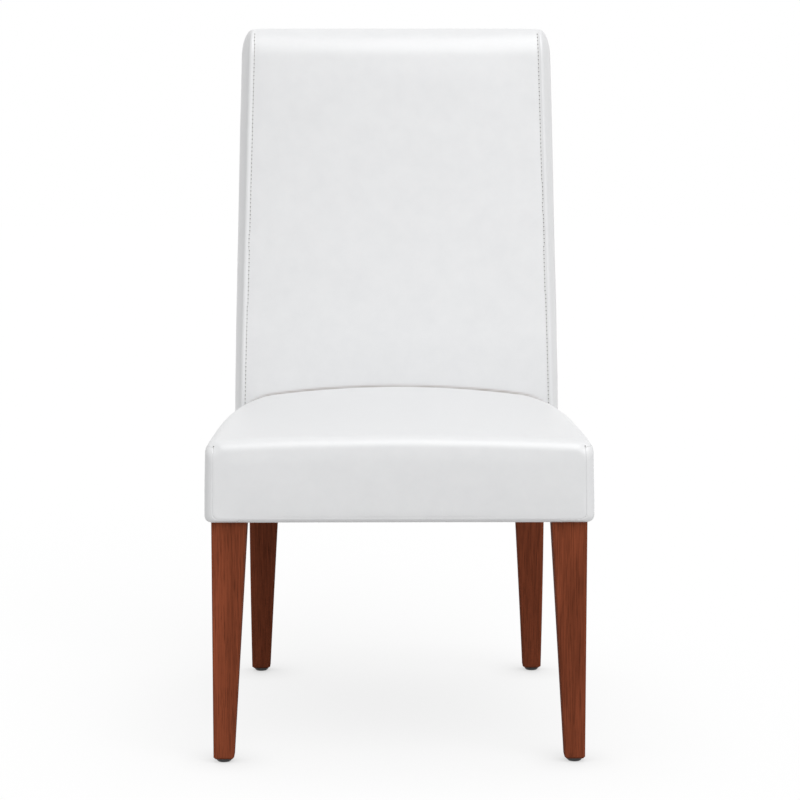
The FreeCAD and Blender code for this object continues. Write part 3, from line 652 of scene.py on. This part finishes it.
def cut_panel(body, shell, panel, cover, *inside, fill):
    """One panel as a thickened piece, in place of its cover in the CAD part and of the foam inside."""
    faces = [face for face, owner in zip(shell.faces, shell.panels) if owner == panel]
    name = cover.replace("cover", "panel")
    piece = new_object(name, *only_used(coordinates(body.data), faces))
    finer = piece.modifiers.new("finer", "SUBSURF")
    finer.levels = 1
    finer.render_levels = 1
    thicken(piece, COVER)
    dress(piece, "leathercloth", cover, *inside)
    return piece


# Materials
MATERIALS = {}


def fill(tree, made, sockets):
    """Sets the sockets of a node, or links them to the sockets of other nodes."""
    for name, value in sockets.items():
        if isinstance(value, bpy.types.NodeSocket):
            tree.links.new(value, made.inputs[name])
        else:
            made.inputs[name].default_value = value


def node(tree, kind, sockets, **settings):
    made = tree.nodes.new(kind)
    for name, value in settings.items():
        setattr(made, name, value)
    fill(tree, made, sockets)
    return made


def new_material(name):
    material = bpy.data.materials.new(name)
    material.use_nodes = True
    MATERIALS[name] = material
    return material.node_tree, material.node_tree.nodes["Principled BSDF"]


def object_place(tree):
    return node(tree, "ShaderNodeTexCoord", {}).outputs["Object"]


def attribute(tree, name, output):
    return node(tree, "ShaderNodeAttribute", {}, attribute_name=name).outputs[output]


def noise_at(tree, place, scale, detail=2.0, roughness=0.5):
    sockets = {"Vector": place, "Scale": scale, "Detail": detail, "Roughness": roughness}
    return node(tree, "ShaderNodeTexNoise", sockets).outputs["Fac"]


def along_grain(tree, place, scale, stretch, **settings):
    """Noise drawn out along the height."""
    drawn_out = node(tree, "ShaderNodeMapping", {"Vector": place, "Scale": (1.0, 1.0, stretch)})
    return noise_at(tree, drawn_out.outputs["Vector"], scale, **settings)


def calculated(tree, operation, first, second):
    return node(tree, "ShaderNodeMath", {0: first, 1: second}, operation=operation).outputs["Value"]


def mixed_colour(tree, factor, first, second, blend_type="MIX"):
    """Mixes two colours; sockets 6 and 7 and output 2 of the node are the ones for colours."""
    sockets = {0: factor, 6: first, 7: second}
    return node(tree, "ShaderNodeMix", sockets, data_type="RGBA", blend_type=blend_type).outputs[2]


def ranged(tree, value, low, high, start=NOISE_LOW, end=NOISE_HIGH):
    sockets = {"Value": value, "From Min": start, "From Max": end, "To Min": low, "To Max": high}
    return node(tree, "ShaderNodeMapRange", sockets).outputs["Result"]


def colour_between(tree, value, first, second):
    ramp = node(tree, "ShaderNodeValToRGB", {"Fac": value})
    ramp.color_ramp.elements[0].color = (*first, 1.0)
    ramp.color_ramp.elements[1].color = (*second, 1.0)
    ramp.color_ramp.elements[0].position = NOISE_LOW
    ramp.color_ramp.elements[1].position = NOISE_HIGH
    return ramp.outputs["Color"]


def bump(tree, height, depth, strength):
    sockets = {"Height": height, "Distance": depth, "Strength": strength}
    return node(tree, "ShaderNodeBump", sockets).outputs["Normal"]


def leathercloth():
    tree, shader = new_material("leathercloth")
    place = object_place(tree)
    clouds = noise_at(tree, place, LEATHER_CLOUDS, detail=5.0, roughness=0.65)
    unshaded = colour_between(tree, clouds, *LEATHER)
    sheen = noise_at(tree, place, LEATHER_CLOUDS, detail=4.0)
    sockets = {"Vector": place, "Scale": LEATHER_PEBBLES, "Randomness": 1.0}
    cells = node(tree, "ShaderNodeTexVoronoi", sockets, feature="DISTANCE_TO_EDGE")
    pebbles = ranged(tree, cells.outputs["Distance"], 0.0, 1.0, 0.0, LEATHER_PEBBLE_EDGE)
    grain = calculated(tree, "ADD", pebbles, noise_at(tree, place, LEATHER_PORES))
    looks = {
        # Painted shade: the leather colour darkens towards the shade colour where seat and back meet
        "Base Color": mixed_colour(tree, attribute(tree, "painted_crease_shade", "Fac"), unshaded, LEATHER_PAINTED_SHADE),
        "Roughness": ranged(tree, sheen, *LEATHER_ROUGHNESS),
        "Specular IOR Level": LEATHER_GLOSS,
        "Normal": bump(tree, grain, LEATHER_GRAIN_DEPTH, strength=0.5),
    }
    fill(tree, shader, looks)


def wood(name, dark, light, coat, bent=False):
    """Straight-grained wood, with the grain along the height of the piece, or along its bend."""
    tree, shader = new_material(name)
    place = attribute(tree, "straightened", "Vector") if bent else object_place(tree)
    streaks = along_grain(tree, place, WOOD_STREAKS, WOOD_STREAK_STRETCH, detail=4.0, roughness=0.65)
    bands = along_grain(tree, place, WOOD_BANDS, WOOD_BAND_STRETCH, detail=3.0)
    pores = along_grain(tree, place, WOOD_PORES, WOOD_PORE_STRETCH)
    grain = calculated(tree, "MULTIPLY", calculated(tree, "ADD", streaks, bands), 0.5)
    figure = colour_between(tree, grain, dark, light)
    shade = ranged(tree, pores, WOOD_PORE_SHADE, 1.0, *WOOD_PORE_RANGE)
    fleck = node(tree, "ShaderNodeCombineColor", {"Red": shade, "Green": shade, "Blue": shade})
    looks = {
        "Base Color": mixed_colour(tree, 1.0, figure, fleck.outputs["Color"], blend_type="MULTIPLY"),
        "Roughness": ranged(tree, streaks, *WOOD_ROUGHNESS),
        "Specular IOR Level": 0.0,
        "Coat Weight": coat,
        "Coat Roughness": LACQUER_ROUGHNESS,
        "Normal": bump(tree, pores, WOOD_PORE_DEPTH, strength=0.35),
    }
    fill(tree, shader, looks)


def mottled(name, dark, light, scale, rough, metallic=0.0, depth=0.0001):
    """A plain material with an uneven tone and a fine texture."""
    tree, shader = new_material(name)
    place = object_place(tree)
    tone = noise_at(tree, place, scale, detail=4.0)
    texture = noise_at(tree, place, scale * FINE_TEXTURE, detail=3.0)
    looks = {
        "Base Color": colour_between(tree, tone, dark, light),
        "Roughness": ranged(tree, tone, rough - ROUGHNESS_SPREAD, rough + ROUGHNESS_SPREAD),
        "Metallic": metallic,
        "Normal": bump(tree, texture, depth, strength=0.5),
    }
    fill(tree, shader, looks)


def woven(name, dark, light, scale):
    """Cloth with crossing threads, finer where the scale is larger."""
    tree, shader = new_material(name)
    sockets = {"Vector": object_place(tree), "Scale": scale, "Distortion": 0.4, "Detail": 1.0}
    waves = []
    for direction in ("X", "Y"):
        wave = node(tree, "ShaderNodeTexWave", sockets, bands_direction=direction)
        waves.append(wave.outputs["Fac"])
    weave = calculated(tree, "MULTIPLY", *waves)
    looks = {
        "Base Color": colour_between(tree, weave, dark, light),
        "Roughness": 0.9,
        "Normal": bump(tree, weave, depth=0.0003, strength=0.6),
    }
    fill(tree, shader, looks)


def make_materials():
    leathercloth()
    wood("stained_wood", *STAIN, LACQUER)
    wood("bent_stained_wood", *STAIN, LACQUER, bent=True)
    wood("frame_wood", (0.42, 0.27, 0.14), (0.62, 0.44, 0.26), 0.0)
    mottled("foam", (0.62, 0.55, 0.36), (0.72, 0.66, 0.46), scale=300.0, rough=0.9, depth=0.0006)
    woven("webbing", (0.02, 0.02, 0.022), (0.20, 0.17, 0.12), scale=45.0)
    woven("dust_cloth", (0.006, 0.006, 0.007), (0.028, 0.028, 0.030), scale=70.0)
    mottled("hardboard", (0.16, 0.09, 0.045), (0.25, 0.15, 0.08), scale=500.0, rough=0.7)
    mottled("zinc_steel", (0.48, 0.48, 0.49), (0.62, 0.62, 0.64), scale=180.0, rough=0.38, metallic=1.0)
    mottled("glide_plastic", (0.010, 0.009, 0.009), (0.022, 0.020, 0.020), scale=250.0, rough=0.42)
    mottled("thread", (0.58, 0.57, 0.55), (0.68, 0.67, 0.65), scale=2500.0, rough=0.7)
    # Dark discs at the stitch ends: painted shade of the needle holes
    mottled("needle_hole_shade", (0.13, 0.125, 0.12), (0.20, 0.195, 0.19), scale=2500.0, rough=0.9)


def dress(piece, slot, *replaced, paint=None):
    """Gives a new piece its material, that of its slot unless paint names another, and its body, and
    hides the nodes that it stands for.
    """
    piece.data.materials.append(MATERIALS[paint or slot])
    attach(piece, "root")
    if replaced:
        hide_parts(*replaced)
    return piece


# Seat cover
def seat_ring(section, back, inset, depth, bend):
    """A ring round the seat, bent by a share of the bend of the back."""
    ring = []
    for row in range(SeatSection.TOP + 1):
        across, height = section.point(row, inset, 0.0)
        ring.append(placed(across, depth + bend * (back.front_at(across) - SEAT_DEPTH), height))
    return ring


def seat_front_ring(section, step):
    """A ring round the front edge: first up to the seam of the corner, then past it."""
    ring = []
    for row in range(SeatSection.TOP + 1):
        seam_turn = math.acos(1 - section.seam_inset(row) / FRONT_EDGE_RADIUS)
        if step <= CORNER_LOOPS:
            turn = seam_turn * step / CORNER_LOOPS
        else:
            turn = between(seam_turn, math.pi / 2, (step - CORNER_LOOPS) / FRONT_LOOPS)
        depth = FRONT_EDGE_RADIUS * (1 - math.sin(turn))
        inset = FRONT_EDGE_RADIUS * (1 - math.cos(turn))
        from_hem = max(HEM_RADIUS - depth, 0.0)
        rise = HEM_RADIUS - math.sqrt(HEM_RADIUS**2 - from_hem**2)
        across, height = section.point(row, inset, rise)
        ring.append(placed(across, depth, height))
    return ring


def seat_rings():
    """Rings from the rear of the seat to its front, and the depth at which each of them lies."""
    back = BackSection(LEAN_START)
    rear = SeatSection(SEAT_DEPTH - REAR_EDGE_RADIUS)
    front = SeatSection(FRONT_EDGE_RADIUS)
    rings, depths = [], []
    for step in range(REAR_LOOPS):
        turn = math.pi / 2 * (1 - step / REAR_LOOPS)
        inset = REAR_EDGE_RADIUS * (1 - math.cos(turn))
        depth = SEAT_DEPTH - REAR_EDGE_RADIUS * (1 - math.sin(turn))
        rings.append(seat_ring(rear, back, inset, depth, 1.0))
        depths.append(depth)
    for step in range(MAIN_LOOPS):
        share = step / MAIN_LOOPS
        depth = between(SEAT_DEPTH - REAR_EDGE_RADIUS, FRONT_EDGE_RADIUS, share)
        rings.append(seat_ring(SeatSection(depth), back, 0.0, depth, (1 - share) ** BEND_FADE))
        depths.append(depth)
    for step in range(CORNER_LOOPS + FRONT_LOOPS + 1):
        rings.append(seat_front_ring(front, step))
        depths.append(FRONT_EDGE_RADIUS)
    return rings, depths


def seat_crease():
    """Points along the line where the top of the seat runs against the back."""
    section = SeatSection(SEAT_DEPTH - REAR_EDGE_RADIUS)
    back = BackSection(SEAT_PEAK_HEIGHT)
    places = []
    for step in range(CREASE_STEPS + 1):
        row = between(SeatSection.SEAM, SeatSection.TOP, step / CREASE_STEPS)
        across, height = section.point(row, 0.0, 0.0)
        for side in (across, -across):
            places.append(placed(side, back.front_at(across), height))
    return places


def make_seat():
    rings, depths = seat_rings()
    seam_ring = REAR_LOOPS + MAIN_LOOPS + CORNER_LOOPS
    shell = Shell(rings)

    def panel_of(ring, row, side):
        if row < SeatSection.UNDER:
            return "top" if depths[ring] <= COVER_TURN_IN else None
        if row < SeatSection.SEAM and ring < seam_ring:
            return "right" if side > 0 else "left"
        return "top"

    shell.skin(panel_of)
    shell.patch("top", SeatSection.HEM_START, SeatSection.SEAM)
    seams = shell.both_sides(seam_ring, range(SeatSection.HEM_START, SeatSection.SEAM))
    for ring in range(seam_ring + 1):
        seams |= shell.both_sides(ring, (SeatSection.SEAM,))
    held = set(seams)
    for ring in range(shell.rings):
        held |= shell.both_sides(ring, range(SeatSection.HEM_START + HEM_HELD_ROWS))
    for ring in range(REAR_HELD_RINGS):
        held |= shell.both_sides(ring, range(shell.half + 1))
    body = upholster("seat_cover", shell, seams, held, SEAT_SEAM_SINK)
    corners = [shell.index(seam_ring, SeatSection.SEAM, side) for side in (1, -1)]
    pucker(body, corners)
    tacks = list(zip(("right", "left"), coordinates(body.data)[corners], normals(body.data)[corners]))
    top = cut_panel(body, shell, "top", "seat_top_cover", "seat_foam", fill=0.85)
    paint_crease_shade(top)
    for side in ("left", "right"):
        cut_panel(body, shell, side, "seat_side_cover_" + side, fill=0.8)
    bpy.data.objects.remove(body)
    surface = finished_surface(top)
    for side, point, outward in tacks:
        stitch = Stitching()
        stitch.add(*on_surface(surface, point, outward), Vector((0.0, 0.0, 1.0)), TACK_LENGTH)
        stitch.piece("seat_corner_stitch_" + side)


def pucker(body, corners):
    """Draws the cover in where the three seams of a front corner meet."""
    points = coordinates(body.data)
    inward = normals(body.data)
    for corner in corners:
        away = np.linalg.norm(points - points[corner], axis=1, keepdims=True)
        points = points - inward * PUCKER_DEPTH * np.exp(-((away / PUCKER_REACH) ** 2))
    set_coordinates(body.data, points)


# Back cover
def back_sections():
    sections = []
    for inset in spaced(COVER_TURN_IN, HEM_RADIUS, HEM_RINGS)[:-1]:
        sections.append(BackSection(SEAT_UNDERSIDE, 0.0, inset))
    for turn in spaced(0.0, math.pi / 2, HEM_RINGS):
        rise = HEM_RADIUS * (1 - math.cos(turn))
        sections.append(BackSection(SEAT_UNDERSIDE + rise, 0.0, HEM_RADIUS * (1 - math.sin(turn))))
    bottom = SEAT_UNDERSIDE + HEM_RADIUS
    top = OVERALL_HEIGHT - TOP_ROUND_HEIGHT
    heights = spaced(bottom, CREASE_LOW, LOW_RINGS)[1:]
    heights += spaced(CREASE_LOW, CREASE_HIGH, CREASE_RINGS)[1:]
    heights += spaced(CREASE_HIGH, top, FACE_RINGS)[1:]
    sections += [BackSection(height) for height in heights]
    for turn in spaced(0.0, math.pi / 2, TOP_RINGS)[1:]:
        sections.append(BackSection(top + TOP_ROUND_HEIGHT * math.sin(turn), turn))
    return sections


def back_seams(shell, sections):
    """Points on the side and rear seams, which end just below the top."""
    seams = set()
    for ring, section in enumerate(sections):
        if section.height < OVERALL_HEIGHT - TOP_HELD:
            seams |= shell.both_sides(ring, (BackSection.SIDE_SEAM, BackSection.REAR_SEAM))
    return seams


def back_held(shell, sections):
    """Points that don't swell: the top, the hem, the stitch lines and what the seat hides."""
    held = set(range(shell.rings * shell.size, len(shell.points)))
    for ring, section in enumerate(sections):
        held |= shell.both_sides(ring, (BackSection.STITCH,))
        in_hem = section.height < SEAT_UNDERSIDE + HEM_RADIUS
        if in_hem or section.height > OVERALL_HEIGHT - TOP_HELD:
            held |= shell.both_sides(ring, range(shell.half + 1))
        elif section.height < LEAN_START:
            held |= shell.both_sides(ring, range(BackSection.SIDE_SEAM))
    return held


def back_stitch_lines(shell, sections):
    top = OVERALL_HEIGHT - TOP_HELD
    rings = [ring for ring, section in enumerate(sections) if FRONT_PANEL_BOTTOM < section.height < top]
    lines = {}
    for side, name in ((1, "right"), (-1, "left")):
        lines[name] = [shell.index(ring, BackSection.STITCH, side) for ring in rings]
    return lines


def make_back():
    sections = back_sections()
    rings = []
    for section in sections:
        outline = section.points
        rings.append([placed(across, depth, section.height_at(across)) for across, depth in outline])
    shell = Shell(rings)

    def panel_of(ring, row, side):
        height = sections[ring].height
        in_front = row < BackSection.SIDE_SEAM
        in_hem = height < SEAT_UNDERSIDE + HEM_RADIUS
        if in_front and height >= FRONT_PANEL_BOTTOM:
            return "front"
        if row < BackSection.STITCH or (in_front and in_hem):
            return None
        if row < BackSection.REAR_SEAM:
            return "right" if side > 0 else "left"
        return "rear"

    shell.skin(panel_of)
    shell.patch("front", BackSection.SIDE_SEAM, BackSection.CORNER_END)
    seams = back_seams(shell, sections)
    stitch_lines = back_stitch_lines(shell, sections)
    sewn = seams | {corner for line in stitch_lines.values() for corner in line}
    body = upholster("back_cover", shell, sewn, back_held(shell, sections) | seams, BACK_SEAM_SINK)
    points = coordinates(body.data)
    outward = normals(body.data)
    front = cut_panel(body, shell, "front", "back_front_cover", "back_foam", fill=0.8)
    paint_crease_shade(front)
    cut_panel(body, shell, "rear", "back_rear_cover", fill=0.7)
    for side in ("left", "right"):
        cut_panel(body, shell, side, "back_side_cover_" + side, fill=0.75)
    bpy.data.objects.remove(body)
    surface = finished_surface(front)
    for name, line in stitch_lines.items():
        stitch = Stitching()
        stitch.run(surface, points[line], outward[line])
        stitch.piece("back_topstitch_" + name)


# Stitches
def finished_surface(cover):
    return BVHTree.FromObject(cover, bpy.context.evaluated_depsgraph_get())


def on_surface(surface, point, outward):
    """Nearest place on the outer face of a finished cover, with its normal."""
    outside = Vector(point) + Vector(outward).normalized() * 3 * COVER
    place, normal, _, _ = surface.find_nearest(outside)
    return place, normal


class Stitching:
    """Short threads that lie on the cover, each with a dark disc at its end, painted shade of the needle
    hole.
    """

    SIDES = 6
    STEPS = 6
    ARCH = 0.5
    SUNK = 0.25
    END_RADIUS = 0.55
    HOLE_DEPTH = 0.3

    def __init__(self):
        self.points = []
        self.faces = []
        self.paints = []

    def tube(self, centres, radii, axis, across, paint):
        sideways = across.cross(axis).normalized()
        faces = tube_faces(len(self.points), len(centres), self.SIDES)
        for centre, radius in zip(centres, radii):
            for number in range(self.SIDES):
                turn = 2 * math.pi * number / self.SIDES
                spoke = math.cos(turn) * sideways + math.sin(turn) * across
                self.points.append(centre + radius * spoke)
        self.faces += faces
        self.paints += [paint] * len(faces)

    def add(self, centre, normal, direction, length):
        direction = (direction - normal * direction.dot(normal)).normalized()
        centres, radii = [], []
        for share in shares(self.STEPS):
            along = (share - 0.5) * length
            arch = math.sin(math.pi * share)
            rise = THREAD * (self.ARCH * arch - self.SUNK)
            centres.append(centre + direction * along + normal * rise)
            radii.append(THREAD / 2 * between(self.END_RADIUS, 1.0, arch))
        self.tube(centres, radii, direction, normal, 0)
        # The dark disc at the thread's end is painted shade of the needle hole
        hole = centre + direction * (length + THREAD) / 2
        depth = normal * THREAD * self.HOLE_DEPTH
        self.tube([hole - depth, hole + depth], [HOLE_SHADE_RADIUS, HOLE_SHADE_RADIUS], normal, direction, 1)

    def run(self, surface, points, outward):
        steps = np.linalg.norm(np.diff(points, axis=0), axis=1)
        along = np.concatenate([[0.0], np.cumsum(steps)])
        for place in np.arange(STITCH_PITCH, along[-1] - STITCH_PITCH, STITCH_PITCH):
            centre, ahead, facing = (
                Vector([np.interp(at, along, values[:, axis]) for axis in range(3)])
                for at, values in ((place, points), (place + STITCH_LENGTH, points), (place, outward))
            )
            self.add(*on_surface(surface, centre, facing), ahead - centre, STITCH_LENGTH)

    def piece(self, name):
        made = dress(new_object(name, self.points, self.faces), "leathercloth", paint="thread")
        made.data.materials.append(MATERIALS["needle_hole_shade"])
        made.data.polygons.foreach_set("material_index", self.paints)


# Rear legs
def sabre(height, kick):
    length = SEAT_UNDERSIDE - GLIDE_HEIGHT
    radius = (kick**2 + length**2) / (2 * kick)
    drop = max(SEAT_UNDERSIDE - height, 0.0)
    return radius - math.sqrt(radius**2 - drop**2)


def rounded_square(x0, x1, y0, y1):
    corners = [(x1, y0, -1, 1, -90), (x1, y1, -1, -1, 0), (x0, y1, 1, -1, 90), (x0, y0, 1, 1, 180)]
    outline = []
    for x, y, inward_x, inward_y, start in corners:
        centre_x = x + LEG_EDGE_RADIUS * inward_x
        centre_y = y + LEG_EDGE_RADIUS * inward_y
        for share in shares(LEG_EDGE_STEPS):
            turn = math.radians(start + 90 * share)
            across = centre_x + LEG_EDGE_RADIUS * math.cos(turn)
            outline.append((across, centre_y + LEG_EDGE_RADIUS * math.sin(turn)))
    return outline


def rear_post_outer(height):
    lowest = BACK_FACE_WIDTH / 2 - FRAME_INSET - POST_SETBACK
    highest = back_half_width(POST_TOP) - FRAME_INSET
    return float(np.interp(height, (SEAT_UNDERSIDE, POST_TOP), (lowest, highest)))


def rear_leg_front(height):
    kick = REAR_FOOT_KICK + POST_REAR - POST_FRONT - LEG_FOOT
    return POST_FRONT + sabre(height, kick) + lean(height, FRONT_LEAN)


def mark_straightened(leg):
    """Notes where each point is when the leg is drawn straight, for the grain of the wood."""
    points = coordinates(leg.data)
    points[:, 1] -= [rear_leg_front(height) for height in points[:, 2]]
    mark(leg, "straightened", "FLOAT_VECTOR", "vector", points)


def rear_leg_ring(height, trim, side):
    outer = rear_post_outer(height)
    heights = (GLIDE_HEIGHT, SEAT_UNDERSIDE, POST_TOP)
    width = float(np.interp(height, heights, (LEG_FOOT, LEG_TOP, POST_TOP_WIDTH)))
    front = rear_leg_front(height)
    rear = POST_REAR + sabre(height, REAR_FOOT_KICK) + lean(height, REAR_LEAN)
    outline = rounded_square(outer - width + trim, outer - trim, front + trim, rear - trim)
    return [placed(side * across, depth, height) for across, depth in outline[::side]]


def make_rear_leg(side, name):
    foot = GLIDE_HEIGHT + FOOT_CHAMFER
    heights = spaced(foot, SEAT_UNDERSIDE, LEG_RINGS)
    heights += spaced(SEAT_UNDERSIDE, POST_TOP, POST_RINGS)[1:]
    rings = [rear_leg_ring(GLIDE_HEIGHT, FOOT_CHAMFER, side)]
    rings += [rear_leg_ring(height, 0.0, side) for height in heights]
    faces = tube_faces(0, len(rings), len(rings[0]))
    leg = new_object("rear_leg_" + name, [point for ring in rings for point in ring], faces)
    leg.data.set_sharp_from_angle(angle=SHARP_EDGE)
    mark_straightened(leg)
    dress(leg, "stained_wood", "rear_post_" + name, paint="bent_stained_wood")


# Dust cloth under the seat
def dust_cloth_lines():
    """Rows of the cloth: depth, half the width between the legs, and whether legs are beside it."""
    leg_low, leg_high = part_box("front_leg_right")
    front_inner = leg_low.x - LEG_NOTCH_GAP
    rear_inner = rear_post_outer(SEAT_UNDERSIDE) - LEG_TOP - LEG_NOTCH_GAP
    front_end = leg_high.y - SEAT_FRONT + LEG_NOTCH_GAP
    rear_start = POST_FRONT - LEG_NOTCH_GAP
    rear_end = SEAT_DEPTH + BACK_DEPTH - DUST_COVER_MARGIN
    stretches = [
        (DUST_COVER_MARGIN, front_end, front_inner, front_inner, True, DUST_FRONT_ROWS),
        (front_end, rear_start, front_inner, rear_inner, False, DUST_MAIN_ROWS),
        (rear_start, rear_end, rear_inner, rear_inner, True, DUST_REAR_ROWS),
    ]
    lines = []
    for start, end, first_inner, last_inner, beside_leg, count in stretches:
        inners = spaced(first_inner, last_inner, count)
        for depth, inner in zip(spaced(start, end, count)[:-1], inners):
            lines.append((depth, inner, beside_leg))
    return lines + [(rear_end, rear_inner, True)]


def make_dust_cloth():
    low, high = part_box("dust_cover")
    lines = dust_cloth_lines()
    points, faces = [], []
    for number, (depth, inner, _) in enumerate(lines):
        half = seat_half_width(min(depth, SEAT_DEPTH)) - DUST_COVER_MARGIN
        across = spaced(-half, -inner, DUST_EDGE_COLUMNS)[:-1]
        across += spaced(-inner, inner, DUST_COLUMNS)
        across += spaced(inner, half, DUST_EDGE_COLUMNS)[1:]
        for place in across:
            belly = math.sin(math.pi * number / (len(lines) - 1)) * math.cos(math.pi / 2 * place / half)
            points.append(placed(place, depth, low.z - DUST_SAG * belly))
    columns = DUST_COLUMNS + 2 * DUST_EDGE_COLUMNS
    for number, (_, _, beside_leg) in enumerate(lines[:-1]):
        for column in range(columns):
            between_legs = DUST_EDGE_COLUMNS <= column < columns - DUST_EDGE_COLUMNS
            if between_legs or not beside_leg:
                first = number * (columns + 1) + column
                faces.append([first, first + columns + 1, first + columns + 2, first + 1])
    cloth = new_object("dust_cloth", *only_used(points, faces))
    thicken(cloth, DUST_COVER)
    dress(cloth, "dust_cloth", "dust_cover")


# CAD nodes: the first of these words in a node's name settles its finish
FINISHES = {
    "bolt": "zinc_steel",
    "nail": "zinc_steel",
    "leg": "stained_wood",
    "post": "stained_wood",
    "rail": "frame_wood",
    "block": "frame_wood",
    "webbing": "webbing",
    "board": "hardboard",
    "glide": "glide_plastic",
    "foam": "foam",
    "dust": "dust_cloth",
    "cover": "leathercloth",
}


def paint_cad_nodes():
    for name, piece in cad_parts.items():
        finish = next(finish for word, finish in FINISHES.items() if word in name)
        piece.data.materials.clear()
        piece.data.materials.append(MATERIALS[finish])


# Floor, light and camera
def seen_directly(tree):
    """1 on camera, glossy and transmission rays, and 0 for the light that falls on the object."""
    path = node(tree, "ShaderNodeLightPath", {}).outputs
    seen = path["Is Camera Ray"]
    for ray in ("Is Glossy Ray", "Is Transmission Ray"):
        seen = calculated(tree, "MAXIMUM", seen, path[ray])
    return seen


def open_share(tree, shade, reach):
    """1 on open floor, falling by the shade where something close overhead covers it."""
    near = node(tree, "ShaderNodeAmbientOcclusion", {"Distance": reach}, samples=CONTACT_SAMPLES)
    return ranged(tree, near.outputs["AO"], 1.0 - shade, 1.0, 0.0, 1.0)


def blank_tree(owner):
    owner.use_nodes = True
    owner.node_tree.nodes.clear()
    return owner.node_tree


def mixed_shader(tree, factor, first, second):
    sockets = {0: factor, 1: first.outputs[0], 2: second.outputs[0]}
    return node(tree, "ShaderNodeMixShader", sockets)


def make_floor():
    corners = [(-1, -1), (1, -1), (1, 1), (-1, 1)]
    points = [Vector((x * FLOOR_SIZE, y * FLOOR_SIZE, 0.0)) for x, y in corners]
    floor = new_object("floor", points, [[0, 1, 2, 3]])
    material = bpy.data.materials.new("floor")
    tree = blank_tree(material)
    plain = node(tree, "ShaderNodeBsdfDiffuse", {"Color": FLOOR_BOUNCE})
    paper = node(tree, "ShaderNodeBsdfDiffuse", {"Color": WHITE})
    level = open_share(tree, FLOOR_CONTACT, FLOOR_CONTACT_REACH)
    foot_level = open_share(tree, FOOT_CONTACT, FOOT_CONTACT_REACH)
    level = calculated(tree, "MULTIPLY", level, foot_level)
    white = node(tree, "ShaderNodeEmission", {"Color": WHITE, "Strength": level})
    shaded = mixed_shader(tree, FLOOR_SHADOW, white, paper)
    mixed = mixed_shader(tree, seen_directly(tree), plain, shaded)
    node(tree, "ShaderNodeOutputMaterial", {"Surface": mixed.outputs[0]})
    floor.data.materials.append(material)


def make_world():
    world = bpy.data.worlds.new("studio")
    bpy.context.scene.world = world
    tree = blank_tree(world)
    soft = node(tree, "ShaderNodeBackground", {"Color": WHITE, "Strength": SKY_LIGHT})
    white = node(tree, "ShaderNodeBackground", {"Color": WHITE, "Strength": 1.0})
    mixed = mixed_shader(tree, seen_directly(tree), soft, white)
    node(tree, "ShaderNodeOutputWorld", {"Surface": mixed.outputs[0]})


def make_key_light():
    lamp = bpy.data.lights.new("key", "SUN")
    lamp.energy = KEY_LIGHT
    lamp.angle = KEY_SPREAD
    made = add_object("key", lamp)
    made.location = KEY_FROM
    made.rotation_euler = (-Vector(KEY_FROM)).to_track_quat("-Z", "Y").to_euler()


def make_camera():
    camera = bpy.data.cameras.new("camera")
    camera.lens = CAMERA_LENS
    camera.sensor_width = CAMERA_SENSOR
    made = add_object("camera", camera)
    made.location = CAMERA_PLACE
    made.rotation_euler = (math.pi / 2 - CAMERA_PITCH, 0.0, -CAMERA_YAW)
    bpy.context.scene.camera = made


make_materials()
paint_cad_nodes()
make_seat()
make_back()
make_rear_leg(1, "right")
make_rear_leg(-1, "left")
make_dust_cloth()
make_floor()
make_world()
make_key_light()
make_camera()
bpy.context.scene.view_settings.view_transform = "Standard"
